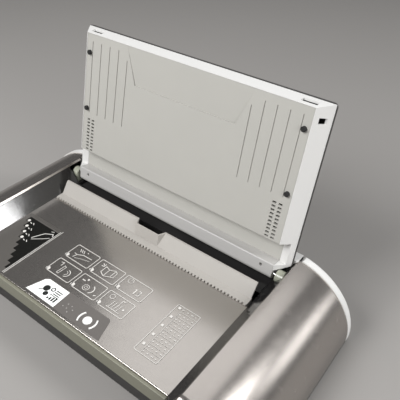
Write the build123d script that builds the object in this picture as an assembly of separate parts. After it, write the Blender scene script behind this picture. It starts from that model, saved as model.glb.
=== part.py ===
"""Thermal binding machine: a heated slot under a hinged lid, between two rounded side wings.

Millimetres, +Z up, +Y to the back. The origin is on the table, under the middle of the machine
as it stands with its lid open. The lid is drawn closed and then swung open about its hinge.
"""
import os
from math import asin, cos, radians, sin, sqrt, tan

from build123d import *

# ---------------------------------------------------------------- driving sizes
base_width = 534.0
base_front = -136.3          # front faces of the wings
skin = 2.5                   # wall of the moulded covers
seam = 0.3                   # gap between neighbouring mouldings
foot_height = 4.0
foot_radius = 9.0
foot_inset = 34.0
foot_seat = 1.2              # feet let into the floor
lip_height, lip_wall = 6.5, 1.8
lip_gap = 8.0                # lip left out this far ahead of the wing's rear covers
tray_rib_height, tray_rib = 5.0, 2.0
tray_ribs_x, tray_ribs_y = (-30.0, 60.0), (-50.0, 15.0)
vent_slot_pitch, vent_slot_width = 10.0, 3.0
vent_slot_left = -15.0
vent_slot_front, vent_slot_rear = -35.0, 5.0
screw_recess = 1.6
screw_radius = 3.6

deck_height = 73.2
deck_width = 334.0
deck_thickness = 2.5
deck_setback = 11.0          # front edge of the deck behind the wing fronts
deck_lip = 7.0               # turned-down front edge
deck_rib_x, deck_rib, deck_rib_depth = 95.0, 2.0, 4.0
bead_radius = 0.8
wall_rise = 25.0             # from the deck up to the top of the wings
wall_run = 19.9              # how far the side walls lean out over that rise
trim_thickness = 3.2
trim_foot = 8.0              # part of the side trim below the deck
trim_drop = 2.7              # top of the side trim below the wing top

wing_radius = 88.0
wing_round = 10.0
rib_depth = 7.0
rib_rows = (55.0, 115.0, 175.0)
rib_clear = 4.0              # ribs start this far outside the side wall's top
rib_foot = 12.0              # ribs end this far above the tray floor
wing_return = 4.0            # wing's inner wall past the tray's front wall
cap_depth = 11.0
cap_proud = 2.2              # white rear covers stand this far above the wings
cap_swell = 0.4              # and this far outside them
rear_round = 3.0
cover_gap = 0.5              # rear cover's top inside the side walls

fascia_height = 20.5
fascia_thickness = 3.8
fascia_drop = 2.0            # shadow line between the deck's edge and the fascia
fascia_return = 7.5
fascia_round = 1.0
undercut = 8.5               # foot of the tray's front wall behind the deck's edge
undercut_rake = 6.5

lid_lean = 12.6              # how far the open lid leans back past upright
lid_gap = 4.0                # closed lid's inner face above the deck
lid_frame_depth = 18.0
lid_shell_thickness = 3.5
lid_shell_skin = 1.8
lid_panel_width = 334.6
lid_panel_length = 166.0
lid_panel_thickness = 3.0
lid_panel_recess = 0.4
lid_lip = 0.7                # rim of the frame around the panel
lid_ledge = 2.0              # ledge of the frame that carries the panel
lid_ledge_thickness = 1.5
shell_corner, shell_round = 5.0, 1.6
shell_rim = 6.0              # solid edge of the shell around its shallow pocket
lid_side_flare = 14.2
lid_front_flare = 4.5
lid_overhang = 1.1           # shell beyond the frame
channel_length = 29.7        # cross channel over the guide
channel_depth = 15.5
channel_wall = 2.0
notch_depth = 12.0           # the channel's ends cut this deep into the frame's sides
frame_foot = 7.5             # ends of the frame's sides ahead of the hinge axis, at the inner face
frame_foot_rake = 5.6
beam_reach = 15.4            # front of the hinge beam ahead of the hinge axis
barrel_radius = 6.6
beam_wall = 2.5
beam_seam = 0.1
beam_round = 1.5
beam_rib_x, beam_rib = 80.0, 2.0
tail_length = 8.9            # shell behind the hinge axis
tail_drop = 5.0
tail_width = 333.0

groove_count = 5
groove_pitch = 15.7
groove_edge = 10.4           # outermost groove from the panel's side
groove_width = 1.1
groove_depth = 0.8
groove_top = 9.5
groove_bottom = 108.0
brow_half_top = 96.0         # shallow wedge let into the top of the panel
brow_half_low = 78.0
brow_length = 47.0
brow_depth = 1.6
vent_count = 10
vent_pitch = 5.0
vent_length = 2.6
vent_width = 5.0
vent_inset = 10.8            # outer vent column from the panel's side
vent_spacing = 8.1
vent_margin = 1.8
bumper_radius = 3.2
bumper_inset = 6.3
bumper_rows = (24.5, 102.0)  # from the top of the panel
bumper_chamfer = 0.8
bumper_seat, bumper_stem = 2.0, 2.2    # stem let into the panel
latch_inset = 10.0           # latch pocket from the top of the panel
latch_length = 6.5
latch_depth = 8.0
latch_low = 5.0              # pocket and rim slots behind the lid's inner face
rim_slot_length = 19.0
rim_slot_height = 6.9
lid_screw_x = 150.8
lid_screw_radius = 2.2
lid_screw_reach = 7.8        # screw hole ahead of the hinge axis
screw_hole_depth = 9.0
screw_head_depth = 5.0       # screw's head this deep in its hole
screw_head = 4.0
screw_play = 0.15

hinge_from_front = 210.9     # hinge axis behind the front faces of the wings
hinge_to_rear = 36.1         # rear covers' back faces behind the hinge axis
hinge_height = 10.6          # hinge axis above the deck
pin_radius = 3.0
pin_clearance = 0.05
pin_length = 37.0
pin_boss = 22.0
pin_stop = 2.0               # bottom of the pin's hole inside its boss
knuckle_radius = 8.4
knuckle_width = 10.7
knuckle_gap = 5.0            # between the beam's end and the knuckle
knuckle_clearance = 0.6
knuckle_room = 2.2           # pocket of the side trim around the knuckle
knuckle_step = 0.6           # trim left standing above the deck in that pocket
knuckle_chamfer = 0.8
web_front, web_rear = 7.4, 5.4
bracket_web = 8.0
bracket_foot_front, bracket_foot_rear = 12.0, 11.0
bracket_foot_side = 9.7      # foot beyond the knuckle's outer end
gusset_length, gusset_height, gusset_thickness = 12.0, 40.0, 2.5

slot_length = 316.0
slot_opening = 33.3
slot_depth = 25.0            # heater plate below the deck
slot_from_front = 165.2      # front wall of the slot behind the wing fronts
slot_wall = 2.0
slot_ledge = 2.5
slot_end_ledge = 7.5         # closed floor at each end of the trough
ledge_thickness = 2.2
well_depth = 4.7             # floor of the hinge well below the deck
well_length = 31.5
plate_thickness = 3.0
plate_gap = 0.3
plate_corner = 1.5
element_thickness = 3.0
element_width = 9.0
element_gap = 2.0            # between the two heating strips
element_inset = 14.0         # ends of the strips inside the slot's ends
element_joint = 6.0
insulator_thickness = 3.2
insulator_margin = 4.0       # insulator beyond the ends of the strips
insulator_gap = 0.6          # between the insulator and the ledges
strap_thickness = 1.2
strap_width = 14.0
strap_spacing = 100.0
thermostat_x = 50.0
thermostat_radius = 7.5
thermostat_height = 5.0
tab_start, tab_end, tab_width = 6.0, 12.0, 2.0

guide_width = 328.8
guide_overlap = 9.0          # front of the comb foot ahead of the slot
guide_foot = 10.2
guide_foot_gap = 0.3
guide_foot_thickness = 1.9
guide_height = 18.4
guide_run = 13.1             # how far its face leans back over that height
guide_wall = 2.7
guide_travel = 14.0
comb_pitch = 5.0
comb_depth = 2.0
pocket_width = 50.0
pocket_splay = 5.0           # each cheek flares out by this much
pocket_offset = -1.0
pocket_reach = 8.0
pocket_wall = 1.4
pocket_bite = 0.4            # pocket walls run this far into the face
rail_inset = 3.3             # rail axis inside the deck's side
rail_drop = 12.2             # rail axis below the deck
rail_radius = 2.0
rail_clearance = 0.06
rail_length = 50.0
rail_lead = 7.7              # rail ahead of the guide's front edge
lug_thickness = 3.0
lug_width = 6.0
lug_drop = 1.0               # lug below its square about the rail
carriage_width = 5.0
carriage_length = 14.0
carriage_height = 12.0
carriage_drop = 5.0          # carriage below the rail's axis
carriage_chamfer = 0.6
carriage_gap = 0.3           # carriage behind the guide's front edge
leg_thickness = 2.2
leg_inset = 1.0              # leg set in from the carriage's ends
leg_side = 1.4               # leg's inner face inside the guide's end
leg_clearance = 0.6          # around the leg in its slot

strip_front_width = 124.8
strip_back_width = 106.4
strip_length = 28.6
strip_offset = 3.6
strip_setback = 3.7          # front of the control strip behind the deck's front edge
strip_corner = 5.0
bezel_thickness = 1.6
bezel_proud = 0.2
bezel_ledge = 2.5
window_margin = 1.0
window_thickness = 1.0
window_right = -8.8          # right-hand end of the display window
window_corner = 3.6
window_rake = 1.2            # right-hand edge leans in by this much
display_height = 4.0
display_margin = 6.0
display_left = -48.0
display_gap = 1.0            # between the window and the display
post_inset, post_radius = 2.0, 1.5
button_x = 36.8
button_setback = 15.5        # start button behind the deck's front edge
button_radius = 5.6
button_gap = 0.35
button_proud = 0.9
button_travel = 1.0
flange_thickness = 1.2
flange_overlap = 1.4
key_radius = 11.6            # middle of the arc keys, about the start button
key_width = 2.0
key_span = 74.0              # degrees
key_end_gap = 3.0            # degrees of room at the keys' ends
key_flange_span = 4.0        # degrees by which the flange passes the key
key_flange_inner = 0.8
key_proud = 0.6
key_travel = 0.8
stem_radius = 1.6
lamp_radius = 0.9
lamp_gap = 0.1
board_drop = 11.6            # top of the control board below the deck
board_thickness = 1.6
tact_size = 6.0
tact_height = 3.4
tact_plunger = 0.8
board_setback = 1.0
plug_inset, plug_length, plug_depth, plug_height = 14.0, 12.0, 5.0, 6.0
stem_slack = 0.3

gauge_width = 67.0
gauge_length = 96.8
gauge_side = 2.0
gauge_setback = 2.0
gauge_thickness = 1.0
gauge_rim = 0.6
gauge_rim_width, gauge_rim_pitch = 1.0, 2.2

power_height = 9.5           # power board above the tray floor
power_left, power_right = -151.0, -65.0
power_front, power_rear = 23.0, 81.0
power_inset = 5.0
board_headroom = 2.2         # between the tallest part on the board and the heater's straps
core_length, core_depth = 38.0, 18.0
coil_length, coil_depth, coil_step = 30.0, 26.0, 4.0
relay_length, relay_depth, relay_step = 19.0, 12.0, 5.0
capacitor_radius, capacitor_step = 5.0, 3.0
boss_radius = 4.0
board_boss_radius = 3.0
boss_inset = 5.5             # bosses under the hinge well, in from its corner
deck_boss_places = ((150.0, 9.0), (88.0, -20.0))
inlet_x, inlet_z, inlet_width, inlet_height = -128.0, 30.0, 27.0, 20.0
switch_x, switch_z, switch_width, switch_height = -95.0, 30.0, 14.0, 22.0
socket_depth = 24.0
flange_proud = 1.4
inlet_wall = 1.8
inlet_depth = 17.0
inlet_chamfer = 4.0
blade_width, blade_height = 2.0, 4.0
blade_spacing, blade_rise = 7.0, 4.0
blade_drop = 2.1             # lower pair of blades below the middle
blade_setback = 3.0
switch_wall, switch_rim = 1.4, 1.5
rocker_tilt = 12.0
rocker_radius = 9.2
rocker_gap = 0.4
rocker_sink = 6.6            # pivot below the face of its frame
rocker_pin = 1.2
rocker_edge = 50.0           # half angle between the rocker's two edges, seen from its pivot
rocker_back = 2.5            # back of the rocker behind its pivot
rocker_taper = 0.64          # height of that back, as a share of the rocker's
rocker_depth = 3.5           # room behind the rocker
louvre_count = 9
louvre_start = 24.0
louvre_pitch = 7.0
louvre_width = 2.6
louvre_height = 26.0
louvre_lift = 12.0           # louvres above the middle of the cover
vent_slots = 8

# ---------------------------------------------------------------- places that follow from them
deck_half = deck_width / 2
deck_front = base_front + deck_setback
deck_under = deck_height - deck_thickness
wing_top = deck_height + wall_rise
wing_x = base_width / 2 - cap_swell - wing_radius
wing_z = wing_top - sqrt(wing_radius**2 - (deck_half + wall_run - wing_x) ** 2)
floor_top = foot_height + skin
cap_top = wing_top + cap_proud
hinge_y = base_front + hinge_from_front
base_rear = hinge_y + hinge_to_rear
wing_rear = base_rear - cap_depth
tray_front = deck_front + undercut
trim_low = deck_height - trim_foot
trim_top = wing_top - trim_drop
fascia_top = deck_height - fascia_drop
fascia_low = fascia_top - fascia_height

hinge_z = deck_height + hinge_height
lid_low = deck_height + lid_gap
lid_frame_top = lid_low + lid_frame_depth
lid_top = lid_frame_top + lid_shell_thickness
panel_half = lid_panel_width / 2
frame_half = panel_half + seam + lid_lip
beam_front = hinge_y - beam_reach
panel_rear = beam_front - channel_length
panel_front = panel_rear - lid_panel_length
frame_front = panel_front - seam - lid_lip
open_angle = 90 + lid_lean
hinge_line = Axis((0, hinge_y, hinge_z), (1, 0, 0))
knuckle_x = panel_half + knuckle_gap
pin_inner = panel_half - pin_boss + pin_stop
bore_radius = pin_radius + pin_clearance

slot_front = base_front + slot_from_front
slot_rear = slot_front + slot_opening
slot_half = slot_length / 2
surround_front = slot_front - slot_wall
surround_half = deck_half - seam
plate_half = slot_half - plate_gap
heater_top = deck_height - slot_depth
ledge_top = heater_top - plate_thickness
trough_low = ledge_top - ledge_thickness
element_low = ledge_top - element_thickness
element_half = slot_half - element_inset
insulator_low = element_low - insulator_thickness
insulator_half = element_half + insulator_margin
strap_low = insulator_low - strap_thickness
slot_middle = (slot_front + slot_rear) / 2
well_floor = deck_height - well_depth
well_low = well_floor - deck_thickness
well_rear = slot_rear + well_length
# the open lid's back comes to rest just before the rear cover's front top edge
lid_back = (lid_top - hinge_z) / cos(radians(lid_lean))
cover_front = hinge_y + lid_back + (cap_top - hinge_z) * tan(radians(lid_lean)) + seam

rail_x = deck_half - rail_inset
rail_z = deck_height - rail_drop
guide_front = surround_front - guide_overlap
guide_fold = guide_front + guide_foot
guide_top_y = guide_fold + guide_run
rail_front = guide_front - rail_lead
rail_rear = rail_front + rail_length
carriage_front = guide_front + carriage_gap
carriage_rear = carriage_front + carriage_length
leg_inner = guide_width / 2 - leg_side
leg_front, leg_rear = carriage_front + leg_inset, carriage_rear - leg_inset
carriage_top = rail_z - carriage_drop + carriage_height

strip_front = deck_front + strip_setback
strip_rear = strip_front + strip_length
button_y = deck_front + button_setback
bezel_top = deck_height + bezel_proud
bezel_low = bezel_top - bezel_thickness
board_top = deck_height - board_drop
gauge_left = -deck_half + gauge_side
gauge_front = deck_front + gauge_setback
power_low = floor_top + power_height


# ---------------------------------------------------------------- small makers
def box(x0, x1, y0, y1, z0, z1):
    """Block between two opposite corners."""
    return Pos((x0 + x1) / 2, (y0 + y1) / 2, (z0 + z1) / 2) * Box(x1 - x0, y1 - y0, z1 - z0)


def along_x(points, x0, x1):
    """Prism with a closed YZ outline."""
    return extrude(Plane.YZ.offset(x0) * make_face(Polyline(*points, close=True)), x1 - x0)


def along_y(points, y0, y1):
    """Prism with a closed XZ outline."""
    return extrude(Plane.XZ.offset(-y1) * make_face(Polyline(*points, close=True)), y1 - y0)


def along_z(points, z0, z1):
    """Prism with a closed XY outline."""
    return extrude(Plane.XY.offset(z0) * make_face(Polyline(*points, close=True)), z1 - z0)


def rod_x(x0, x1, y, z, radius):
    return extrude(Plane.YZ.offset(x0) * Pos(y, z) * Circle(radius), x1 - x0)


def rod_y(y0, y1, x, z, radius):
    return extrude(Plane.XZ.offset(-y1) * Pos(x, z) * Circle(radius), y1 - y0)


def rod_z(z0, z1, x, y, radius):
    return extrude(Plane.XY.offset(z0) * Pos(x, y) * Circle(radius), z1 - z0)


def post(z0, z1, x, y, radius):
    """Eight-sided post."""
    return extrude(Plane.XY.offset(z0) * Pos(x, y) * RegularPolygon(radius, 8), z1 - z0)


def frustum(low, high, z0, z1):
    """Block whose rectangle (half width, front, rear) changes evenly from z0 to z1."""

    def section(size, z):
        half, front, rear = size
        return Plane.XY.offset(z) * Pos(0, (front + rear) / 2) * Rectangle(2 * half, rear - front)

    return loft([section(low, z0), section(high, z1)], ruled=True)


def mirrored(shape):
    """The same piece for the left side."""
    return shape.mirror(Plane.YZ)


def both_sides(shape):
    return shape + mirrored(shape)


def group(pieces):
    """Loose pieces that share a node."""
    return Compound([solid for piece in pieces for solid in piece.solids()])


def wall_x(z):
    """Half-width between the sloping side walls at height z."""
    return deck_half + max(0.0, z - deck_height) * wall_run / wall_rise


def opened(shape):
    """Swings a piece of the closed lid to the open rest position."""
    return shape.rotate(hinge_line, -open_angle)


nodes = {}


# ---------------------------------------------------------------- base casing
def arc_z(radius, centre_z, x):
    """Height of a wing's round outline at x."""
    return centre_z + sqrt(radius**2 - (x - wing_x) ** 2)


def wing_section(radius, centre_z, inner, y0, y1, low=floor_top):
    """Wing-shaped prism: quarter round outside, the given inner points from floor to crown."""
    top_x, top_z = inner[-1]
    start = asin((top_z - centre_z) / radius)
    end = asin((low - centre_z) / radius)
    middle = (start + end) / 2
    arc_end = (wing_x + radius * cos(end), low)
    arc_mid = (wing_x + radius * cos(middle), centre_z + radius * sin(middle))
    outline = [ThreePointArc((top_x, top_z), arc_mid, arc_end), Polyline(arc_end, *inner)]
    return extrude(Plane.XZ.offset(-y1) * make_face(outline), y1 - y0)


def end_arcs(solid, y):
    """Outer arc edges of a wing section at its end y."""
    return solid.edges().filter_by(GeomType.CIRCLE).filter_by(lambda e: abs(e.center().Y - y) < 0.1)


def wing_room(inset, rear, depth=0.0):
    """Space under a wing's skin, or under its ribs when a depth is given."""
    radius = wing_radius - skin - inset - depth
    crown = wing_z + radius
    front = base_front + skin + inset
    inner = [(0, floor_top - 1), (0, crown), (wing_x, crown)]
    room = wing_section(radius, wing_z, inner, front, rear, floor_top - 1)
    return chamfer(end_arcs(room, front), wing_round - skin)


def wing_cover():
    """Thin quarter-round cover with a closed, rounded front."""
    inner = [(deck_half, floor_top), (deck_half, deck_height), (deck_half + wall_run, wing_top)]
    cover = wing_section(wing_radius, wing_z, inner, base_front, wing_rear)
    cover = fillet(end_arcs(cover, base_front), wing_round)
    cover -= wing_room(0, wing_rear + 1)
    # return wall beside the undercut front of the tray
    cover += box(deck_half, deck_half + skin, base_front + skin, tray_front + wing_return,
                 floor_top, trim_low - seam)
    # stiffening ribs under the crown
    ribs = wing_room(0, wing_rear) - wing_room(0, wing_rear + 1, rib_depth)
    rib_start = deck_half + wall_run + rib_clear
    for row in rib_rows:
        y = base_front + row
        cover += ribs & box(rib_start, base_width, y, y + skin, floor_top + rib_foot, wing_top)
    return cover


def side_trim():
    """Glossy sloping wall beside the deck, with a pocket for the hinge knuckle."""
    outline = [
        (deck_half, trim_low),
        (deck_half, deck_height),
        (wall_x(trim_top), trim_top),
        (wall_x(trim_top) + trim_thickness, trim_top),
        (deck_half + trim_thickness, deck_height),
        (deck_half + trim_thickness, trim_low),
    ]
    trim = along_y(outline, base_front + skin, base_rear) & wing_room(seam / 2, base_rear + 1)
    reach = knuckle_radius + knuckle_room
    return trim - box(0, base_width, hinge_y - reach, hinge_y + reach,
                      deck_height + knuckle_step, trim_top + 1)


def wing_end_cap():
    """White rear end of a wing, a shallow cover that stands a little proud."""
    radius = wing_radius + cap_swell
    centre_z = cap_top - radius
    inner_low = deck_half + seam
    inner_x = deck_half + trim_thickness + seam
    step = trim_low - seam
    knee_x, top_x = inner_x, wall_x(cap_top) + trim_thickness + seam
    inner = [
        (inner_low, floor_top),
        (inner_low, step),
        (knee_x, step),
        (knee_x, deck_height),
        (top_x, arc_z(radius, centre_z, top_x)),
    ]
    cap = wing_section(radius, centre_z, inner, wing_rear, base_rear)
    cap = fillet(end_arcs(cap, base_rear), rear_round)
    hollow = radius - skin
    room = [
        (inner_low + skin, floor_top - 1),
        (inner_low + skin, step - skin),
        (knee_x + skin, step - skin),
        (knee_x + skin, deck_height),
        (top_x + skin, arc_z(hollow, centre_z, top_x + skin)),
    ]
    return cap - wing_section(hollow, centre_z, room, wing_rear - 1, base_rear - skin, floor_top - 1)


def socket_block(x, z, width, height, gap=0.0, rear=1.0):
    """Block that cuts a mains socket's opening, or fills it when a gap is given."""
    w, h = width / 2 - gap, height / 2 - gap
    return box(x - w, x + w, base_rear - socket_depth, base_rear + rear, z - h, z + h)


def rear_cover():
    """White cover behind the lid: an upside-down channel with louvres and mains openings."""
    low_half = deck_half - seam

    def outline(inset, low, top):
        high_half = wall_x(top) - cover_gap - inset
        right = [(low_half - inset, low), (low_half - inset, deck_height), (high_half, top)]
        return right + [(-x, z) for x, z in reversed(right)]

    cover = along_y(outline(0, floor_top, cap_top), cover_front, base_rear)
    rear_edge = cover.edges().filter_by(Axis.X).group_by(Axis.Z)[-1].sort_by(Axis.Y)[-1]
    cover = fillet(rear_edge, rear_round)
    room = outline(skin, floor_top - 1, cap_top - skin)
    cover -= along_y(room, cover_front + skin, base_rear - skin)
    cover -= box(-low_half - 1, low_half + 1, cover_front - 1, cover_front + skin + 0.01, 0, well_low)
    louvre_z = (floor_top + cap_top) / 2 + louvre_lift
    louvre_x = [louvre_start + k * louvre_pitch for k in range(louvre_count)]
    for x in louvre_x + [-x for x in louvre_x]:
        slot = box(x - louvre_width / 2, x + louvre_width / 2, base_rear - skin - 1, base_rear + 1,
                   louvre_z - louvre_height / 2, louvre_z + louvre_height / 2)
        cover -= slot
    cover -= socket_block(inlet_x, inlet_z, inlet_width, inlet_height)
    cover -= socket_block(switch_x, switch_z, switch_width, switch_height)
    return cover


deck_bosses = [(side * x, y) for side in (-1, 1) for x, y in deck_boss_places]
well_bosses = [(side * (surround_half - boss_inset), well_rear - boss_inset) for side in (-1, 1)]
power_bosses = [
    (x, y)
    for x in (power_left + power_inset, power_right - power_inset)
    for y in (power_front + power_inset, power_rear - power_inset)
]
foot_x = base_width / 2 - foot_inset
foot_places = [
    (side * foot_x, y) for side in (-1, 1) for y in (base_front + foot_inset, base_rear - foot_inset)
]


def bottom_tray():
    """Floor of the machine with its edge lip, raked front wall, ribs and bosses."""
    floor_half = wing_x + sqrt(wing_radius**2 - (floor_top - wing_z) ** 2)
    inner = deck_half + seam
    outline = [
        (-floor_half, base_front),
        (-inner, base_front),
        (-inner, tray_front),
        (inner, tray_front),
        (inner, base_front),
        (floor_half, base_front),
        (floor_half, base_rear),
        (-floor_half, base_rear),
    ]
    tray = along_z(outline, foot_height, floor_top)
    for end, radius in ((0, wing_round), (-1, rear_round)):
        corners = tray.edges().filter_by(Axis.Z).filter_by(lambda e: abs(e.center().X) > inner + 1)
        tray = fillet(corners.group_by(Axis.Y)[end], radius)
    # edge lip inside the covers, open where inner walls stand
    lip_top = floor_top + lip_height
    lip_half = wing_x + sqrt((wing_radius - skin) ** 2 - (floor_top - wing_z) ** 2) - seam
    lip_front, lip_rear = base_front + skin + seam, base_rear - skin - seam
    lip = box(-lip_half, lip_half, lip_front, lip_rear, floor_top, lip_top)
    lip = chamfer(lip.edges().filter_by(Axis.Z), wing_round - skin)
    hole = box(-lip_half + lip_wall, lip_half - lip_wall, lip_front + lip_wall, lip_rear - lip_wall,
               0, lip_top + 1)
    lip -= chamfer(hole.edges().filter_by(Axis.Z), wing_round - skin - lip_wall / 2)
    recess_half = deck_half + skin + seam
    lip -= box(-recess_half, recess_half, base_front - 1, tray_front, 0, lip_top + 1)
    gap_start, gap_end = deck_half - 2 * seam - skin, deck_half + 2 * seam + skin
    lip -= both_sides(box(gap_start, gap_end, wing_rear - lip_gap, base_rear, 0, lip_top + 1))
    tray += lip
    # front wall, raked forward up to the fascia
    front_wall = [
        (tray_front, foot_height),
        (tray_front + skin, foot_height),
        (tray_front - undercut_rake + skin, fascia_low - seam),
        (tray_front - undercut_rake, fascia_low - seam),
    ]
    tray += along_x(front_wall, -deck_half + seam, deck_half - seam)
    # floor ribs, bosses and air slots
    rib_top, half_rib = floor_top + tray_rib_height, tray_rib / 2
    for x in tray_ribs_x:
        tray += box(x - half_rib, x + half_rib, tray_front + 1, power_rear, floor_top, rib_top)
    for y in tray_ribs_y:
        tray += box(-foot_x, foot_x, y - half_rib, y + half_rib, floor_top, rib_top)
    for places, top in ((deck_bosses, deck_under), (well_bosses, well_low), (power_bosses, power_low)):
        for x, y in places:
            tray += post(floor_top, top, x, y, boss_radius)
    for k in range(vent_slots):
        x = vent_slot_left + k * vent_slot_pitch
        half = vent_slot_width / 2
        tray -= box(x - half, x + half, vent_slot_front, vent_slot_rear, foot_height - 1, rib_top + 1)
    for x, y in foot_places:
        tray -= rod_z(foot_height - 1, foot_height + foot_seat, x, y, foot_radius + seam)
    for x, y in deck_bosses:
        tray -= rod_z(foot_height - 1, foot_height + screw_recess, x, y, screw_radius + seam)
    return tray


def front_fascia():
    """Strip below the deck's front edge, bent back under it."""
    outer, inner = deck_front - fascia_thickness, deck_front - seam / 2
    outline = [
        (outer, fascia_top),
        (inner, fascia_top),
        (inner, fascia_low + skin),
        (deck_front + fascia_return, fascia_low + skin),
        (deck_front + fascia_return, fascia_low),
        (outer, fascia_low),
    ]
    fascia = along_x(outline, -deck_half + seam, deck_half - seam)
    return fillet(fascia.edges().filter_by(Axis.X).group_by(Axis.Y)[0], fascia_round)


def strip_prism(grow, z0, z1):
    """The control strip's outline, grown sideways, as a prism with rounded rear corners."""
    front, rear = strip_front_width / 2 + grow, strip_back_width / 2 + grow
    y0, y1 = strip_front - grow, strip_rear + grow
    points = [(-front, y0), (front, y0), (rear, y1), (-rear, y1)]
    prism = along_z([(strip_offset + x, y) for x, y in points], z0, z1)
    return fillet(prism.edges().filter_by(Axis.Z).sort_by(Axis.Y)[-2:], strip_corner)


board_half_gap = 4.5
board_left = strip_offset - strip_front_width / 2 - 2 * board_half_gap
board_right = strip_offset + strip_front_width / 2 + 2 * board_half_gap
board_bosses = [
    (x, y)
    for x in (board_left + board_half_gap, board_right - board_half_gap)
    for y in (strip_front + board_half_gap, strip_rear - board_half_gap)
]


def rail_lug(front):
    """Lug that holds one end of the right-hand rail."""
    half = lug_width / 2
    rear = front + lug_thickness
    lug = box(rail_x - half, surround_half, front, rear, rail_z - half - lug_drop, deck_under)
    return lug - rod_y(front - 1, rear + 1, rail_x, rail_z, rail_radius)


def deck_panel():
    """Flat deck with its turned-down front lip, openings and rail lugs."""
    half = deck_half - seam / 2
    rear = surround_front - seam / 2
    deck = box(-half, half, deck_front, rear, deck_under, deck_height)
    deck += box(-half, half, deck_front, deck_front + skin, deck_height - deck_lip, deck_under)
    deck += rod_x(-half, half, deck_front + bead_radius, deck_height - bead_radius / 2, bead_radius)
    for x in (-deck_rib_x, deck_rib_x):
        deck += box(x - deck_rib / 2, x + deck_rib / 2, deck_front + skin, rear - skin,
                    deck_under - deck_rib_depth, deck_under)
    deck -= strip_prism(seam / 2, bezel_low, deck_height + 2)
    deck -= strip_prism(-bezel_ledge, deck_under - 1, deck_height)
    gauge = box(gauge_left - seam / 2, gauge_left + gauge_width + seam / 2, gauge_front - seam / 2,
                gauge_front + gauge_length + seam / 2, deck_height - gauge_thickness, deck_height + 2)
    deck -= gauge
    slot = box(leg_inner - leg_clearance, half + 1, leg_front - leg_clearance, rear + 1,
               deck_under - 1, deck_height + 1)
    deck = deck - both_sides(slot) + both_sides(rail_lug(rail_front))
    for x, y in board_bosses:
        deck += post(board_top, deck_under, x, y, board_boss_radius)
    return deck


def gauge_plate():
    """Thin plate let into the deck, with a raised edge along its right and rear."""
    right, rear = gauge_left + gauge_width, gauge_front + gauge_length
    plate = box(gauge_left, right, gauge_front, rear, deck_height - gauge_thickness, deck_height)
    top = deck_height + gauge_rim
    for offset in (0.0, gauge_rim_pitch):
        edge = offset + gauge_rim_width
        plate += box(right - edge, right - offset, gauge_front, rear - offset, deck_height, top)
        plate += box(gauge_left, right - offset, rear - edge, rear - offset, deck_height, top)
    return plate


nodes["bottom_tray"] = bottom_tray()
nodes["front_fascia"] = front_fascia()
nodes["deck_panel"] = deck_panel()
nodes["gauge_plate"] = gauge_plate()
nodes["right_wing_cover"] = wing_cover()
nodes["right_side_trim"] = side_trim()
nodes["right_wing_end_cap"] = wing_end_cap()
for name in ("wing_cover", "side_trim", "wing_end_cap"):
    nodes["left_" + name] = mirrored(nodes["right_" + name])
nodes["rear_cover"] = rear_cover()
nodes["rubber_feet"] = group([
    chamfer(rod_z(0, foot_height + foot_seat, x, y, foot_radius).edges().sort_by(Axis.Z)[0], 1.0)
    for x, y in foot_places
])


def cross_screw(x, y, z0, z1, radius):
    """Screw head with a cross recess in its lower face."""
    head = rod_z(z0, z1, x, y, radius)
    arm, depth = radius * 0.65, (z1 - z0) / 2
    for a, b in ((arm, radius / 8), (radius / 8, arm)):
        head -= box(x - a, x + a, y - b, y + b, z0 - 1, z0 + depth)
    return head


nodes["base_screws"] = group([
    cross_screw(x, y, foot_height + 0.2, foot_height + screw_recess, screw_radius) for x, y in deck_bosses
])


# ---------------------------------------------------------------- hinge brackets
def hinge_bracket():
    """Upright on the tray floor that ends in the knuckle beside the lid."""
    outer = knuckle_x + knuckle_width
    middle = (knuckle_x + outer) / 2
    foot = box(knuckle_x, outer + bracket_foot_side, hinge_y - bracket_foot_front,
               hinge_y + bracket_foot_rear, floor_top, floor_top + skin)
    half = bracket_web / 2
    web = box(middle - half, middle + half, hinge_y - web_front, hinge_y + web_rear, floor_top, hinge_z)
    gusset = [(middle, floor_top), (middle + gusset_length, floor_top), (middle, floor_top + gusset_height)]
    knuckle = rod_x(knuckle_x, outer, hinge_y, hinge_z, knuckle_radius)
    knuckle = chamfer(knuckle.edges().filter_by(GeomType.CIRCLE), knuckle_chamfer)
    bore = rod_x(knuckle_x - 1, outer + 1, hinge_y, hinge_z, bore_radius)
    return foot + web + along_y(gusset, hinge_y - gusset_thickness, hinge_y) + knuckle - bore


nodes["right_hinge_bracket"] = hinge_bracket()
nodes["left_hinge_bracket"] = mirrored(nodes["right_hinge_bracket"])


# ---------------------------------------------------------------- binding slot and heater
def heater_surround():
    """Black moulding: front and rear walls of the trough, its floor, and the hinge well behind."""
    outline = [
        (surround_front, trough_low),
        (slot_rear + slot_wall, trough_low),
        (slot_rear + slot_wall, well_low),
        (well_rear, well_low),
        (well_rear, well_floor),
        (slot_rear, well_floor),
        (slot_rear, ledge_top),
        (slot_front, ledge_top),
        (slot_front, deck_height),
        (surround_front, deck_height),
    ]
    opening_half = slot_half - slot_end_ledge
    opening = box(-opening_half, opening_half, slot_front + slot_ledge, slot_rear - slot_ledge,
                  trough_low - 1, ledge_top + 1)
    return along_x(outline, -slot_half, slot_half) - opening


def slot_end():
    """Right-hand end of the trough: end wall, flange behind the guide's leg, rear rail lug."""
    flange_front = leg_rear + guide_travel + leg_clearance
    wall_end = slot_half + slot_wall
    block = box(slot_half, wall_end, surround_front, slot_rear, trough_low, deck_height)
    block += box(slot_half, wall_end, slot_rear, slot_rear + slot_wall, trough_low, well_low)
    block += box(slot_half, surround_half, flange_front, slot_rear, deck_under, deck_height)
    block += box(slot_half, surround_half, slot_rear, well_rear, well_low, well_floor)
    return block + rail_lug(rail_rear - lug_thickness)


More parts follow.
